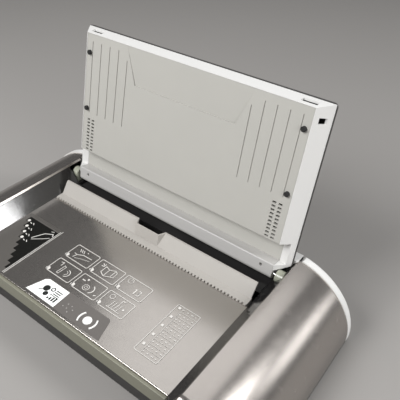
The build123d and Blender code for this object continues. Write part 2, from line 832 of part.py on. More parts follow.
def heater_plate():
    """Flat aluminium plate with rounded corners, lying on the trough's ledges."""
    plate = box(-plate_half, plate_half, slot_front + plate_gap, slot_rear - plate_gap, ledge_top, heater_top)
    return fillet(plate.edges().filter_by(Axis.Z), plate_corner)


def heater_element():
    """Two flat heating strips joined at one end."""
    front = slot_middle - element_gap / 2 - element_width
    rear = slot_middle + element_gap / 2
    element = box(element_half - element_joint, element_half, front, rear + element_width,
                  element_low, ledge_top)
    for y in (front, rear):
        element += box(-element_half, element_half, y, y + element_width, element_low, ledge_top)
    return element


def heater_insulator():
    """Board under the heating strips."""
    half_depth = slot_opening / 2 - slot_ledge - insulator_gap
    return box(-insulator_half, insulator_half, slot_middle - half_depth, slot_middle + half_depth,
               insulator_low, element_low)


def clamp_strap(x):
    """Folded steel strap holding the insulator up against the plate."""
    front, rear = slot_front + insulator_gap, slot_rear - insulator_gap
    strap = box(x - strap_width / 2, x + strap_width / 2, front, rear, strap_low, trough_low)
    return strap - box(x - strap_width, x + strap_width, front + strap_thickness, rear - strap_thickness,
                       insulator_low, trough_low + 1)


def thermostat():
    """Round thermostat on the insulator's underside, with its two terminal tabs."""
    body = rod_z(insulator_low - thermostat_height, insulator_low, 0, slot_middle, thermostat_radius)
    tab = box(tab_start, tab_end, slot_middle - tab_width / 2, slot_middle + tab_width / 2,
              insulator_low - 1, insulator_low)
    return (body + both_sides(tab)).move(Location((thermostat_x, 0, 0)))


nodes["heater_surround"] = heater_surround()
nodes["right_slot_end"] = slot_end()
nodes["left_slot_end"] = mirrored(nodes["right_slot_end"])
nodes["heater_plate"] = heater_plate()
nodes["heater_element"] = heater_element()
nodes["heater_insulator"] = heater_insulator()
nodes["clamp_straps"] = group([clamp_strap(x) for x in (-strap_spacing, 0, strap_spacing)])
nodes["thermostat"] = thermostat()


# ---------------------------------------------------------------- document guide
def guide():
    """Comb-edged foot with a leaning face and a finger pocket, on two short legs."""
    half = guide_width / 2
    z0 = deck_height + guide_foot_gap
    z1 = z0 + guide_foot_thickness
    lean = guide_run / guide_height
    low_y = guide_fold + (z0 - deck_height) * lean
    top_z = deck_height + guide_height
    profile = [
        (guide_front, z0),
        (low_y + guide_wall, z0),
        (guide_top_y + guide_wall, top_z),
        (guide_top_y, top_z),
        (guide_fold + (z1 - deck_height) * lean, z1),
        (guide_front, z1),
    ]
    body = along_x(profile, -half, half)
    teeth = int(guide_width / comb_pitch)
    gap = comb_pitch / 2
    for k in range(teeth):
        x = (k - (teeth - 1) / 2) * comb_pitch
        body -= box(x - gap / 2, x + gap / 2, guide_front - 1, guide_front + comb_depth, z0 - 1, z1 + 1)

    # finger pocket: the face bulges forward towards the top, hollow and open behind
    foot = guide_fold + (z1 - deck_height) * lean

    def pocket_section(z, wall, back):
        """Trapezoid at height z, its cheeks splayed back from a straight front to the face."""
        share = (z - z1) / (top_z - z1)
        face = foot + share * (guide_top_y - foot)
        front = face - share * pocket_reach + wall
        narrow = pocket_width / 2 - pocket_splay - wall
        wide = narrow + share * pocket_splay
        points = [(-wide, face + back), (-narrow, front), (narrow, front), (wide, face + back)]
        return Plane.XY.offset(z) * Pos(pocket_offset, 0) * make_face(Polyline(*points, close=True))

    def pocket(low, wall, back):
        return loft([pocket_section(low, wall, back), pocket_section(top_z, wall, back)], ruled=True)

    body += pocket(z1, 0, pocket_bite)
    body -= pocket(z1 + pocket_wall, pocket_wall, guide_wall + 1)
    # legs down to the carriages
    leg = box(leg_inner, leg_inner + leg_thickness, leg_front, leg_rear, carriage_top, z1)
    return body + both_sides(leg)


def guide_carriage():
    """Sliding block that runs on the rail."""
    block = box(rail_x - carriage_width / 2, rail_x + carriage_width / 2, carriage_front, carriage_rear,
                carriage_top - carriage_height, carriage_top)
    block = chamfer(block.edges().filter_by(Axis.Y), carriage_chamfer)
    return block - rod_y(carriage_front - 1, carriage_rear + 1, rail_x, rail_z, rail_radius + rail_clearance)


nodes["document_guide"] = guide()
nodes["guide_carriages"] = group([guide_carriage(), mirrored(guide_carriage())])
rail = rod_y(rail_front, rail_rear, rail_x, rail_z, rail_radius)
nodes["guide_rails"] = group([rail, mirrored(rail)])


# ---------------------------------------------------------------- lid, drawn closed
bumper_places = [panel_front + row for row in bumper_rows]


def lid_inner_panel():
    """Inner face of the lid: grooves, brow wedge, vents, and the channel over the guide."""
    face = lid_low + lid_panel_recess
    back = face + lid_panel_thickness
    panel = box(-panel_half, panel_half, panel_front, panel_rear, face, back)
    # brow wedge, deeper towards its lower end
    brow = along_z([(-brow_half_top, panel_front - 1), (brow_half_top, panel_front - 1),
                    (brow_half_low, panel_front + brow_length), (-brow_half_low, panel_front + brow_length)],
                   face - 1, back)
    wedge = along_x([(panel_front - 1, face - 1), (panel_front + brow_length, face - 1),
                     (panel_front + brow_length, face + brow_depth), (panel_front - 1, face)],
                    -brow_half_top, brow_half_top)
    panel -= brow & wedge
    for k in range(groove_count):
        x = panel_half - groove_edge - k * groove_pitch
        top = groove_top if k < groove_count - 1 else 2 * groove_top
        half = groove_width / 2
        panel -= both_sides(box(x - half, x + half, panel_front + top, panel_front + groove_bottom,
                                face - 1, face + groove_depth))
    for column in range(2):
        x = panel_half - vent_inset - column * vent_spacing
        for k in range(vent_count):
            y = panel_rear - vent_margin - k * vent_pitch
            vent = box(x - vent_width / 2, x + vent_width / 2, y - vent_length, y, face - 1, back + 1)
            panel -= both_sides(vent)
    for y in bumper_places:
        panel -= both_sides(post(face - 1, face + bumper_seat, panel_half - bumper_inset, y, bumper_stem))
    # channel: front wall and floor up to the hinge beam
    floor, back = lid_low + channel_depth, lid_low + channel_depth + channel_wall
    panel += box(-panel_half, panel_half, panel_rear - channel_wall, panel_rear, face, back)
    panel += box(-panel_half, panel_half, panel_rear, beam_front - beam_seam, floor, back)
    return panel


frame_high_half = frame_half + lid_side_flare


def flare_half(depth):
    """Half-width of the frame's outside at a depth behind the inner face."""
    return frame_half + lid_side_flare * depth / lid_frame_depth


def lid_frame():
    """White surround of the lid, flaring outwards to the shell."""
    rear = hinge_y + 2
    ledge_low = lid_panel_recess + lid_panel_thickness
    ledge_high = ledge_low + lid_ledge_thickness
    channel_front = panel_rear - channel_wall - skin
    low = (frame_half, frame_front, rear)
    high = (frame_high_half, frame_front - lid_front_flare, rear)
    frame = frustum(low, high, lid_low, lid_frame_top)
    # room for the panel, its ledge, and the hollow behind
    side = panel_half + seam
    frame -= box(-side, side, panel_front - seam, rear + 1, lid_low - 1, lid_low + ledge_low)
    frame -= box(-side + lid_ledge, side - lid_ledge, panel_front + lid_ledge, rear + 1,
                 lid_low, lid_low + ledge_high)
    hollow_low, hollow_high = flare_half(ledge_high) - skin, frame_high_half - skin
    front_low = frame_front - lid_front_flare * ledge_high / lid_frame_depth + skin
    front_high = frame_front - lid_front_flare + skin
    frame -= frustum((hollow_low, front_low, channel_front), (hollow_high, front_high, channel_front),
                     lid_low + ledge_high, lid_frame_top + 0.001)
    # room for the channel and the beam
    frame -= box(-side, side, channel_front - 1, rear + 1, lid_low - 1, lid_frame_top + 1)
    # notch over the guide's ends, its floor ramping up outwards
    far = frame_high_half + 1
    ramp = [(side - 1, lid_low - 1), (far, lid_low - 1), (far, lid_low + notch_depth),
            (flare_half(notch_depth), lid_low + notch_depth), (side - 1, lid_low + channel_depth)]
    frame -= both_sides(along_y(ramp, panel_rear, beam_front))
    # lower ends cut back around the hinge
    foot, heel = hinge_y - frame_foot, hinge_y - frame_foot - frame_foot_rake
    cut = [(foot, lid_low - 1), (foot, lid_low), (heel, lid_frame_top + 0.001),
           (heel, lid_frame_top + 1), (rear + 1, lid_frame_top + 1), (rear + 1, lid_low - 1)]
    frame -= both_sides(along_x(cut, side - 1, far))
    frame -= rod_x(-far, far, hinge_y, hinge_z, knuckle_radius + knuckle_clearance)
    # latch pockets in the sides and slots in the top rim
    y, z = panel_front + latch_inset, lid_low + latch_low
    frame -= both_sides(box(side + 1, far, y, y + latch_length, z, z + latch_depth))
    front = frame_front - lid_front_flare - 1
    slot = box(panel_half - rim_slot_length - 1, panel_half - 1, front, panel_front, z, z + rim_slot_height)
    return frame - both_sides(slot)


def lid_shell():
    """Dark outer skin of the lid with its turned-down tail."""
    half = frame_high_half + lid_overhang
    front = frame_front - lid_front_flare - lid_overhang
    wide_rear = beam_front
    rear = hinge_y + tail_length
    shell = box(-half, half, front, wide_rear, lid_frame_top, lid_top)
    shell = fillet(shell.edges().filter_by(Axis.Z).group_by(Axis.Y)[0], shell_corner)
    shell += box(-tail_width / 2, tail_width / 2, wide_rear - 1, rear, lid_frame_top, lid_top)
    tail_front = hinge_y + barrel_radius + seam
    shell += box(-tail_width / 2, tail_width / 2, tail_front, rear, lid_frame_top - tail_drop, lid_frame_top)
    shell = fillet(shell.edges().filter_by(Axis.X).group_by(Axis.Z)[-1], shell_round)
    inner = half - shell_rim
    return shell - box(-inner, inner, front + shell_rim, panel_rear - shell_rim,
                       lid_frame_top - 1, lid_top - lid_shell_skin)


def hinge_beam():
    """Beam under the lid's lower end, rounded about the hinge axis, with the pin bosses."""
    barrel_rear = hinge_y + barrel_radius
    barrel_low = hinge_z - barrel_radius
    middle = barrel_radius * sqrt(0.5)
    arc = ThreePointArc((hinge_y, barrel_low), (hinge_y + middle, hinge_z - middle), (barrel_rear, hinge_z))
    rest = Polyline((barrel_rear, hinge_z), (barrel_rear, lid_frame_top), (beam_front, lid_frame_top),
                    (beam_front, barrel_low), (hinge_y, barrel_low))
    section = Plane.YZ.offset(-panel_half) * make_face([arc, rest])
    beam = extrude(section, 2 * panel_half)
    beam = fillet(beam.edges().filter_by(Axis.X).group_by(Axis.Z)[0].sort_by(Axis.Y)[0], beam_round)
    inner = panel_half - pin_boss
    hollow = box(-inner, inner, beam_front + beam_wall, barrel_rear - beam_wall,
                 barrel_low + beam_wall, lid_frame_top + 1)
    low_edge = hollow.edges().filter_by(Axis.X).group_by(Axis.Z)[0].sort_by(Axis.Y)[-1]
    beam -= fillet(low_edge, barrel_radius - beam_wall)
    for x in (-beam_rib_x, 0, beam_rib_x):
        beam += box(x - beam_rib / 2, x + beam_rib / 2, beam_front + 1, barrel_rear - 1,
                    hinge_z, lid_frame_top)
    beam -= both_sides(rod_x(pin_inner, panel_half + 1, hinge_y, hinge_z, pin_radius))
    hole_y = hinge_y - lid_screw_reach
    hole_top = barrel_low + screw_hole_depth
    beam -= both_sides(rod_z(barrel_low - 1, hole_top, lid_screw_x, hole_y, lid_screw_radius))
    return beam


def bumper(y):
    """Rubber stop on the lid's inner face."""
    face = lid_low + lid_panel_recess
    x = panel_half - bumper_inset
    button = rod_z(deck_height + gauge_rim + seam, face, x, y, bumper_radius)
    button = chamfer(button.edges().sort_by(Axis.Z)[0], bumper_chamfer)
    return button + post(face, face + bumper_seat, x, y, bumper_stem)


def lid_screw():
    """Screw at the bottom of its hole in the beam."""
    low = hinge_z - barrel_radius + screw_head_depth
    radius = lid_screw_radius - screw_play
    return cross_screw(lid_screw_x, hinge_y - lid_screw_reach, low, low + screw_head, radius)


nodes["lid_inner_panel"] = opened(lid_inner_panel())
nodes["lid_frame"] = opened(lid_frame())
nodes["lid_shell"] = opened(lid_shell())
nodes["hinge_beam"] = opened(hinge_beam())
bumpers = [bumper(y) for y in bumper_places]
nodes["lid_bumpers"] = group([opened(b) for b in bumpers + [mirrored(b) for b in bumpers]])
nodes["lid_screws"] = group([opened(lid_screw()), opened(mirrored(lid_screw()))])
hinge_pin = rod_x(pin_inner, pin_inner + pin_length, hinge_y, hinge_z, pin_radius)
hinge_pin = chamfer(hinge_pin.edges().filter_by(GeomType.CIRCLE).sort_by(Axis.X)[-1], 0.6)
nodes["hinge_pins"] = group([opened(hinge_pin), opened(mirrored(hinge_pin))])


# ---------------------------------------------------------------- control strip
def window_prism(inset, z0, z1):
    """Outline of the display window, with its cut rear left corner."""
    left = strip_offset - strip_front_width / 2 + window_margin + inset + 0.6
    slope = (strip_front_width - strip_back_width) / 2 / strip_length
    y0, y1 = strip_front + window_margin + inset, strip_rear - window_margin - inset
    corner = window_corner
    rear_left = left + slope * (y1 - y0)
    right = window_right - inset
    points = [
        (left, y0),
        (right, y0),
        (right - window_rake, y1),
        (rear_left + corner, y1),
        (rear_left - slope * corner, y1 - corner),
    ]
    return along_z(points, z0, z1)


def arc_prism(middle, width, span, facing, z0, z1):
    """Arc-shaped bar about the start button; facing is 0 for right, 180 for left."""
    ring = rod_z(z0, z1, button_x, button_y, middle + width / 2)
    ring -= rod_z(z0 - 1, z1 + 1, button_x, button_y, middle - width / 2)
    reach, half = 3 * middle, radians(span / 2)
    tip = [(0, 0), (reach * cos(half), -reach * sin(half)), (reach * cos(half), reach * sin(half))]
    sector = along_z(tip, z0 - 1, z1 + 1).rotate(Axis.Z, facing).move(Location((button_x, button_y, 0)))
    return ring & sector


lamp_places = [(-1.5, 9.5), (4.5, 9.5), (2.0, 15.0), (8.0, 15.0), (12.5, 11.5), (9.0, 6.0)]
lamp_places = [(x, strip_front + y) for x, y in lamp_places]
flange_top = bezel_low - seam
flange_low = flange_top - flange_thickness


def strip_bezel():
    """Dark control strip with its window recess and key openings."""
    bezel = strip_prism(0, bezel_low, bezel_top)
    bezel -= window_prism(-0.1, bezel_top - window_thickness, bezel_top + 1)
    bezel -= window_prism(2.0, bezel_low - 1, bezel_top)
    bezel -= rod_z(bezel_low - 1, bezel_top + 1, button_x, button_y, button_radius + button_gap)
    room = key_width + 2 * button_gap
    for facing in (0, 180):
        bezel -= arc_prism(key_radius, room, key_span + key_end_gap, facing, bezel_low - 1, bezel_top + 1)
    for x, y in lamp_places:
        bezel -= post(bezel_low - 1, bezel_top + 1, x, y, lamp_radius + lamp_gap)
    return bezel


def stem(x, y, travel):
    """Stem from a key's flange to just above its switch at full travel."""
    return post(board_top + tact_height + travel + stem_slack, flange_low, x, y, stem_radius)


def start_button():
    top = bezel_top + button_proud
    cap = rod_z(flange_top, top, button_x, button_y, button_radius)
    cap = chamfer(cap.edges().sort_by(Axis.Z)[-1], 0.4)
    cap += rod_z(flange_low, flange_top, button_x, button_y, button_radius + flange_overlap)
    return cap + stem(button_x, button_y, button_travel)


def arc_key(facing):
    top = bezel_top + key_proud
    key = arc_prism(key_radius, key_width, key_span, facing, flange_top, top)
    # the flange keeps clear of the start button's
    inner, outer = key_radius - key_width / 2 - key_flange_inner, key_radius + key_width / 2 + flange_overlap
    key += arc_prism((inner + outer) / 2, outer - inner, key_span + key_flange_span, facing,
                     flange_low, flange_top)
    side = 1 if facing == 0 else -1
    return key + stem(button_x + side * key_radius, button_y, key_travel)


def control_board():
    """Board hung from the deck, with the three key switches and the connector."""
    front, rear = strip_front + board_setback, strip_rear - board_setback
    board = box(board_left, board_right, front, rear, board_top - board_thickness, board_top)
    tact_top, half = board_top + tact_height, tact_size / 2
    for x in (button_x - key_radius, button_x, button_x + key_radius):
        board += box(x - half, x + half, button_y - half, button_y + half, board_top, tact_top - tact_plunger)
        board += post(board_top, tact_top, x, button_y, tact_size / 4)
    plug_right, plug_front = board_right - plug_inset, front + board_setback * 3
    board += box(plug_right - plug_length, plug_right, plug_front, plug_front + plug_depth,
                 board_top, board_top + plug_height)
    return board


window_low = bezel_top - window_thickness


def display_module():
    """Display panel on four posts that stand on the board."""
    left, right = display_left, window_right - display_margin
    front, rear = strip_front + display_margin, strip_rear - display_margin
    low = window_low - display_gap - display_height
    module = box(left, right, front, rear, low, low + display_height)
    for x in (left + post_inset, right - post_inset):
        for y in (front + post_inset, rear - post_inset):
            module += post(board_top, low, x, y, post_radius)
    return module


nodes["strip_bezel"] = strip_bezel()
nodes["display_window"] = window_prism(0, window_low, bezel_top)
nodes["display_module"] = display_module()
nodes["start_button"] = start_button()
nodes["left_arc_key"] = arc_key(180)
nodes["right_arc_key"] = arc_key(0)
nodes["control_board"] = control_board()
nodes["lamp_guides"] = group([
    post(board_top, bezel_top, x, y, lamp_radius) for x, y in lamp_places
])


# ---------------------------------------------------------------- mains parts
def power_board():
    """Board with transformer, relay and capacitor, on the tray's bosses and clear of the heater."""
    top = power_low + board_thickness
    board = box(power_left, power_right, power_front, power_rear, power_low, top)
    high = strap_low - board_headroom

    def part(x, y, length, depth, height):
        return box(x - length / 2, x + length / 2, y - depth / 2, y + depth / 2, top, height)

    core_x, core_y = power_left + power_inset + boss_radius + core_length / 2, (power_front + power_rear) / 2
    board += part(core_x, core_y, core_length, core_depth, high)
    board += part(core_x, core_y, coil_length, coil_depth, high - coil_step)
    other_x = power_right - power_inset - boss_radius - relay_length / 2
    board += part(other_x, core_y - relay_length / 2, relay_length, relay_depth, high - relay_step)
    board += rod_z(top, high - capacitor_step, other_x, core_y + relay_length / 2, capacitor_radius)
    return board


def socket_face(x, z, width, height, rim, corner):
    """Flange of a mains part against the outside of the rear cover."""
    w, h = width / 2 + rim, height / 2 + rim
    face = box(x - w, x + w, base_rear, base_rear + flange_proud, z - h, z + h)
    return fillet(face.edges().filter_by(Axis.Y), corner)


def power_inlet():
    """Recessed mains inlet with its three blades."""
    w, h = inlet_width / 2 - inlet_wall, inlet_height / 2 - inlet_wall
    body = socket_block(inlet_x, inlet_z, inlet_width, inlet_height, gap=seam / 2, rear=0)
    body += socket_face(inlet_x, inlet_z, inlet_width, inlet_height, inlet_wall, 2.0)
    well_end = base_rear - inlet_depth
    well = box(inlet_x - w, inlet_x + w, well_end, base_rear + flange_proud + 1, inlet_z - h, inlet_z + h)
    body -= chamfer(well.edges().filter_by(Axis.Y).group_by(Axis.Z)[0], inlet_chamfer)
    low = inlet_z - blade_drop
    for x, z in ((-blade_spacing, low), (blade_spacing, low), (0, low + blade_rise)):
        x += inlet_x
        body += box(x - blade_width / 2, x + blade_width / 2, well_end - 1, base_rear - blade_setback,
                    z - blade_height / 2, z + blade_height / 2)
    return body


rocker_y = base_rear + flange_proud - rocker_sink
rocker_room = rocker_radius + rocker_gap


def switch_housing():
    """Frame of the mains switch."""
    body = socket_block(switch_x, switch_z, switch_width, switch_height, gap=seam / 2, rear=0)
    body += socket_face(switch_x, switch_z, switch_width, switch_height, switch_rim, 1.0)
    inner = switch_width / 2 - switch_wall
    body -= box(switch_x - inner, switch_x + inner, rocker_y - rocker_back - rocker_depth,
                base_rear + flange_proud + 1, switch_z - rocker_room, switch_z + rocker_room)
    bore = rocker_pin + pin_clearance
    return body - rod_x(switch_x - inner - 1, switch_x + inner + 1, rocker_y, switch_z, bore)


def power_rocker():
    """Rocker with two faces that meet at a shallow valley, at rest with its top end in."""
    half = switch_width / 2 - switch_wall - rocker_gap
    reach, rise = rocker_radius * cos(radians(rocker_edge)), rocker_radius * sin(radians(rocker_edge))
    valley = reach - rise * tan(radians(rocker_tilt))
    low = rise * rocker_taper
    outline = [(reach, rise), (valley, 0), (reach, -rise), (-rocker_back, -low), (-rocker_back, low)]
    points = [(rocker_y + y, switch_z + z) for y, z in outline]
    rocker = along_x(points, switch_x - half, switch_x + half)
    rocker += rod_x(switch_x - half - 1, switch_x + half + 1, rocker_y, switch_z, rocker_pin)
    return rocker.rotate(Axis((0, rocker_y, switch_z), (1, 0, 0)), rocker_tilt)


nodes["power_board"] = power_board()
nodes["power_inlet"] = power_inlet()
nodes["switch_housing"] = switch_housing()
nodes["power_rocker"] = power_rocker()

os.makedirs("parts", exist_ok=True)
for name, shape in nodes.items():
    export_step(shape, f"parts/{name}.step")
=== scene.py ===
"""Looks of the thermal binding machine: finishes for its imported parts, the printing on its deck
and its display, and the stage. Laid out as an add-on and run as a script. Lengths are in metres,
except where a comment says millimetres."""
from math import cos, pi, radians, sin

import bpy
import numpy as np
from bpy.props import FloatProperty, FloatVectorProperty, PointerProperty
from mathutils import Matrix, Vector


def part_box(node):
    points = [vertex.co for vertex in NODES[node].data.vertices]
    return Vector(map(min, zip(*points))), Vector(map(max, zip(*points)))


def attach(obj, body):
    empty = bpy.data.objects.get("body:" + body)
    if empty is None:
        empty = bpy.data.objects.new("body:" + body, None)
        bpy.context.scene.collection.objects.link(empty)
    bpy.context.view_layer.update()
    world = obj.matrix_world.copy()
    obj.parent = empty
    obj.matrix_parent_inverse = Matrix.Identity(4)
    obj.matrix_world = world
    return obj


bl_info = {
    "name": "Thermal binding machine",
    "version": (1, 0, 0),
    "blender": (4, 5, 0),
    "location": "View3D > Sidebar > Binder",
    "description": "Finishes, printing and stage of a desktop thermal binding machine",
    "category": "Add Mesh",
}

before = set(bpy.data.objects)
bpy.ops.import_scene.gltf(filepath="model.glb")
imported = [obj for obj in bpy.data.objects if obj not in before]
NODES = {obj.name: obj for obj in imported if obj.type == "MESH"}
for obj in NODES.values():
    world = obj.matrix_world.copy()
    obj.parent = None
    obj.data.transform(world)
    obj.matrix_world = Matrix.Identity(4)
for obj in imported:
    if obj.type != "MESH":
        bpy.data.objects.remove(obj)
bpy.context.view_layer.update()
MM = 0.001


def corners(node):
    """Lowest and highest corner of a part, as arrays."""
    low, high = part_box(node)
    return np.array(low), np.array(high)


DECK_TOP = corners("deck_panel")[1][2]
GAUGE_LOW, GAUGE_HIGH = corners("gauge_plate")
WINDOW_LOW, WINDOW_HIGH = corners("display_window")


# ---------------------------------------------------------------- sizes and colours
def colour(name, description, default):
    """Setting that holds a colour."""
    return FloatVectorProperty(name=name, description=description, default=default, subtype="COLOR",
                               size=3, min=0.0, max=1.0)


def length(name, description, default):
    """Setting that holds a length in metres."""
    return FloatProperty(name=name, description=description, default=default, subtype="DISTANCE",
                         unit="LENGTH", precision=5)


def power(name, description, watts):
    """Setting that holds a light's power."""
    return FloatProperty(name=name, description=description, default=watts, min=0.0, unit="POWER")


class BinderFinishes(bpy.types.PropertyGroup):
    """Colours of the painted and moulded parts."""
    deck: colour("Deck paint", "Colour of the metallic deck", (0.42, 0.395, 0.37))
    wing: colour("Wing paint", "Colour of the metallic side wings", (0.42, 0.39, 0.365))
    gauge: colour("Gauge plate", "Colour of the plate under the printed steps", (0.1, 0.094, 0.087))
    cover: colour("White covers", "Colour of the white mouldings", (0.74, 0.735, 0.72))
    panel: colour("Lid panel", "Colour of the lid's inner panel", (0.46, 0.452, 0.42))
    beam: colour("Hinge beam", "Colour of the beam under the lid", (0.5, 0.49, 0.475))
    guide: colour("Guide", "Colour of the document guide", (0.42, 0.4, 0.372))
    fascia: colour("Fascia", "Colour of the strip under the deck's front edge", (0.2, 0.197, 0.152))
    shell: colour("Lid shell", "Colour of the lid's outer shell", (0.05, 0.048, 0.046))
    strip: colour("Control strip", "Colour of the control strip", (0.13, 0.12, 0.112))
    soft_edge: length("Soft edge", "Radius at which sharp edges catch the light", 0.25 * MM)


class BinderPrinting(bpy.types.PropertyGroup):
    """Sizes and colour of the printing."""
    line: length("Line width", "Width of the printed outlines", 0.9 * MM)
    thickness: length("Ink thickness", "Height of the ink above the surface", 0.04 * MM)
    picture_width: length("Picture width", "Width of one instruction picture", 40.0 * MM)
    picture_depth: length("Picture depth", "Depth of one instruction picture", 24.5 * MM)
    picture_pitch_x: length("Picture pitch across", "From one picture to the next", 44.5 * MM)
    picture_pitch_y: length("Picture pitch down", "From one row of pictures to the next", 31.0 * MM)
    ink: colour("Ink", "Colour of the light printing", (0.68, 0.66, 0.63))


class BinderStage(bpy.types.PropertyGroup):
    """Colour of the floor and powers of the lights."""
    floor: colour("Floor", "Colour of the floor", (0.31, 0.298, 0.286))
    front_power: power("Front light", "Power of the light at the front left", 44.0)
    top_power: power("Top light", "Power of the wide light overhead", 12.5)
    low_power: power("Low light", "Power of the small light low at the right", 2.2)
    fill_power: power("Fill light", "Power of the light at the front right", 9.5)
    side_power: power("Side light", "Power of the light high at the right", 42.0)
    sky: FloatProperty(name="Sky", description="Strength of the even light", default=0.1, min=0.0)


# ---------------------------------------------------------------- shader maths
class Value:
    """A node socket that takes part in + - * and comparisons by adding Math nodes."""

    def __init__(self, paint, socket):
        self.paint, self.socket = paint, socket

    def _math(self, operation, *others):
        return self.paint.node("ShaderNodeMath", {"operation": operation}, [self, *others])

    def __add__(self, other):
        return self._math("ADD", other)

    def __sub__(self, other):
        return self._math("SUBTRACT", other)

    def __rsub__(self, other):
        return self.paint.node("ShaderNodeMath", {"operation": "SUBTRACT"}, [other, self])

    def __mul__(self, other):
        return self._math("MULTIPLY", other)

    def __gt__(self, other):
        return self._math("GREATER_THAN", other)

    def __lt__(self, other):
        return self._math("LESS_THAN", other)

    __radd__, __rmul__ = __add__, __mul__

    def high(self, other):
        """The larger of two values."""
        return self._math("MAXIMUM", other)

    def spread(self, low, high):
        """The value with 0 to 1 mapped onto low to high."""
        return self * (high - low) + low

    def wave(self, turn):
        """Stripes that go from 0 to 1 and back every pi / turn metres."""
        return (self * turn)._math("SINE")._math("ABSOLUTE")


class Paint:
    """A material under construction: one Principled shader and the nodes that feed it."""
    # the sockets that a blend of colours uses, among all those of a Mix node
    MIX_FACTOR, MIX_FIRST, MIX_SECOND, MIX_RESULT = 0, 6, 7, 2
    EDGE_SAMPLES = 4

    def __init__(self, name):
        self.material = bpy.data.materials.new(name)
        self.material.use_nodes = True
        self.tree = self.material.node_tree
        self.tree.nodes.clear()
        self.shader = self.tree.nodes.new("ShaderNodeBsdfPrincipled")
        output = self.tree.nodes.new("ShaderNodeOutputMaterial")
        self.tree.links.new(self.shader.outputs[0], output.inputs[0])
        self.place = None

    def put(self, value, socket):
        """Links a value to a socket, or sets the socket to a number or colour. None leaves it."""
        if isinstance(value, Value):
            self.tree.links.new(value.socket, socket)
        elif value is not None:
            if socket.type == "RGBA" and len(value) == 3:
                value = (*value, 1.0)
            socket.default_value = value

    def node(self, kind, settings=None, inputs=(), output=0):
        """Adds one node: settings first, then values or links by socket name or place."""
        made = self.tree.nodes.new(kind)
        for key, value in (settings or {}).items():
            if key == "stops":
                self._stops(made, value)
            else:
                setattr(made, key, value)
        pairs = inputs.items() if isinstance(inputs, dict) else enumerate(inputs)
        for key, value in pairs:
            self.put(value, made.inputs[key])
        return Value(self, made.outputs[output])

    @staticmethod
    def _stops(ramp_node, stops):
        """Sets a ramp's stops, after adding as many as are missing."""
        elements = ramp_node.color_ramp.elements
        while len(elements) < len(stops):
            elements.new(0.5)
        for element, (position, level) in zip(elements, stops):
            element.position, element.color = position, (level, level, level, 1.0)

    def xyz(self):
        """Object coordinates in metres."""
        if self.place is None:
            self.place = self.node("ShaderNodeTexCoord", output="Object")
        return self.place

    def axes(self):
        """X, Y and Z of the object coordinates as three values."""
        split = self.node("ShaderNodeSeparateXYZ", inputs=[self.xyz()]).socket.node
        return [Value(self, socket) for socket in split.outputs]

    def noise(self, size, detail=2.0, roughness=0.5, stretch=None):
        """Noise from 0 to 1 with lumps of about `size` metres, finer along an axis by its stretch."""
        place = self.xyz()
        if stretch:
            place = self.node("ShaderNodeMapping", inputs={"Vector": place, "Scale": stretch})
        return self.node(
            "ShaderNodeTexNoise", {"noise_dimensions": "3D"},
            {"Vector": place, "Scale": 1.0 / size, "Detail": detail, "Roughness": roughness})

    def speckle(self, size):
        """Random value per cell of about `size` metres."""
        cell = self.node("ShaderNodeTexVoronoi", {"feature": "F1"},
                         {"Vector": self.xyz(), "Scale": 1.0 / size}, "Color")
        return self.node("ShaderNodeSeparateColor", inputs=[cell])

    def ramp(self, value, stops):
        """The value taken through stops, each a position and the level it has there."""
        return self.node("ShaderNodeValToRGB", {"stops": stops}, [value])

    def mix(self, factor, first, second):
        """Blend of two colours."""
        inputs = {self.MIX_FACTOR: factor, self.MIX_FIRST: first, self.MIX_SECOND: second}
        return self.node("ShaderNodeMix", {"data_type": "RGBA"}, inputs, self.MIX_RESULT)

    def shade(self, tint, factor, amount):
        """The tint, from darker to lighter by `amount` as the factor goes from 0 to 1."""
        dark = [max(0.0, channel * (1 - amount)) for channel in tint]
        light = [min(1.0, channel * (1 + amount)) for channel in tint]
        return self.mix(factor, dark, light)

    def relief(self, height, depth, strength=1.0, soft=True):
        """Bump of the given depth in metres, over softened edges unless they are crisp."""
        inputs = {"Strength": strength, "Distance": depth, "Height": height}
        if soft:
            radius = bpy.context.scene.binder_finishes.soft_edge
            inputs["Normal"] = self.node("ShaderNodeBevel", {"samples": self.EDGE_SAMPLES},
                                         {"Radius": radius})
        return self.node("ShaderNodeBump", inputs=inputs)

    def finish(self, base, roughness, normal=None, **others):
        """Feeds the shader, others by socket name with _ for a space, and returns the material."""
        self.put(base, self.shader.inputs["Base Color"])
        self.put(roughness, self.shader.inputs["Roughness"])
        self.put(normal, self.shader.inputs["Normal"])
        for name, value in others.items():
            self.put(value, self.shader.inputs[name.replace("_", " ")])
        return self.material


# ---------------------------------------------------------------- finishes
# how much finer a metal's lines are along each axis than along the one that it was drawn along
DRAWN_ALONG_X = (1.0, 30.0, 30.0)
DRAWN_ALONG_Y = (30.0, 1.0, 30.0)


def metallic_paint(name, tint, roughness, soft=True):
    """Satin metallic paint: fine flakes, faint clouding and a light orange peel."""
    flake_contrast, flake_roughness, metal = 0.06, 0.04, 0.9
    paint = Paint(name)
    flakes = paint.speckle(0.35 * MM)
    cloud = paint.noise(50 * MM, detail=3.0)
    base = paint.shade(tint, flakes * 0.75 + cloud * 0.25, flake_contrast)
    rough = paint.noise(12 * MM, detail=4.0).spread(roughness - 0.03, roughness + 0.04)
    rough += flakes * flake_roughness
    peel = paint.noise(1.1 * MM)
    return paint.finish(base, rough, paint.relief(peel, 0.004 * MM, soft=soft), Metallic=metal)


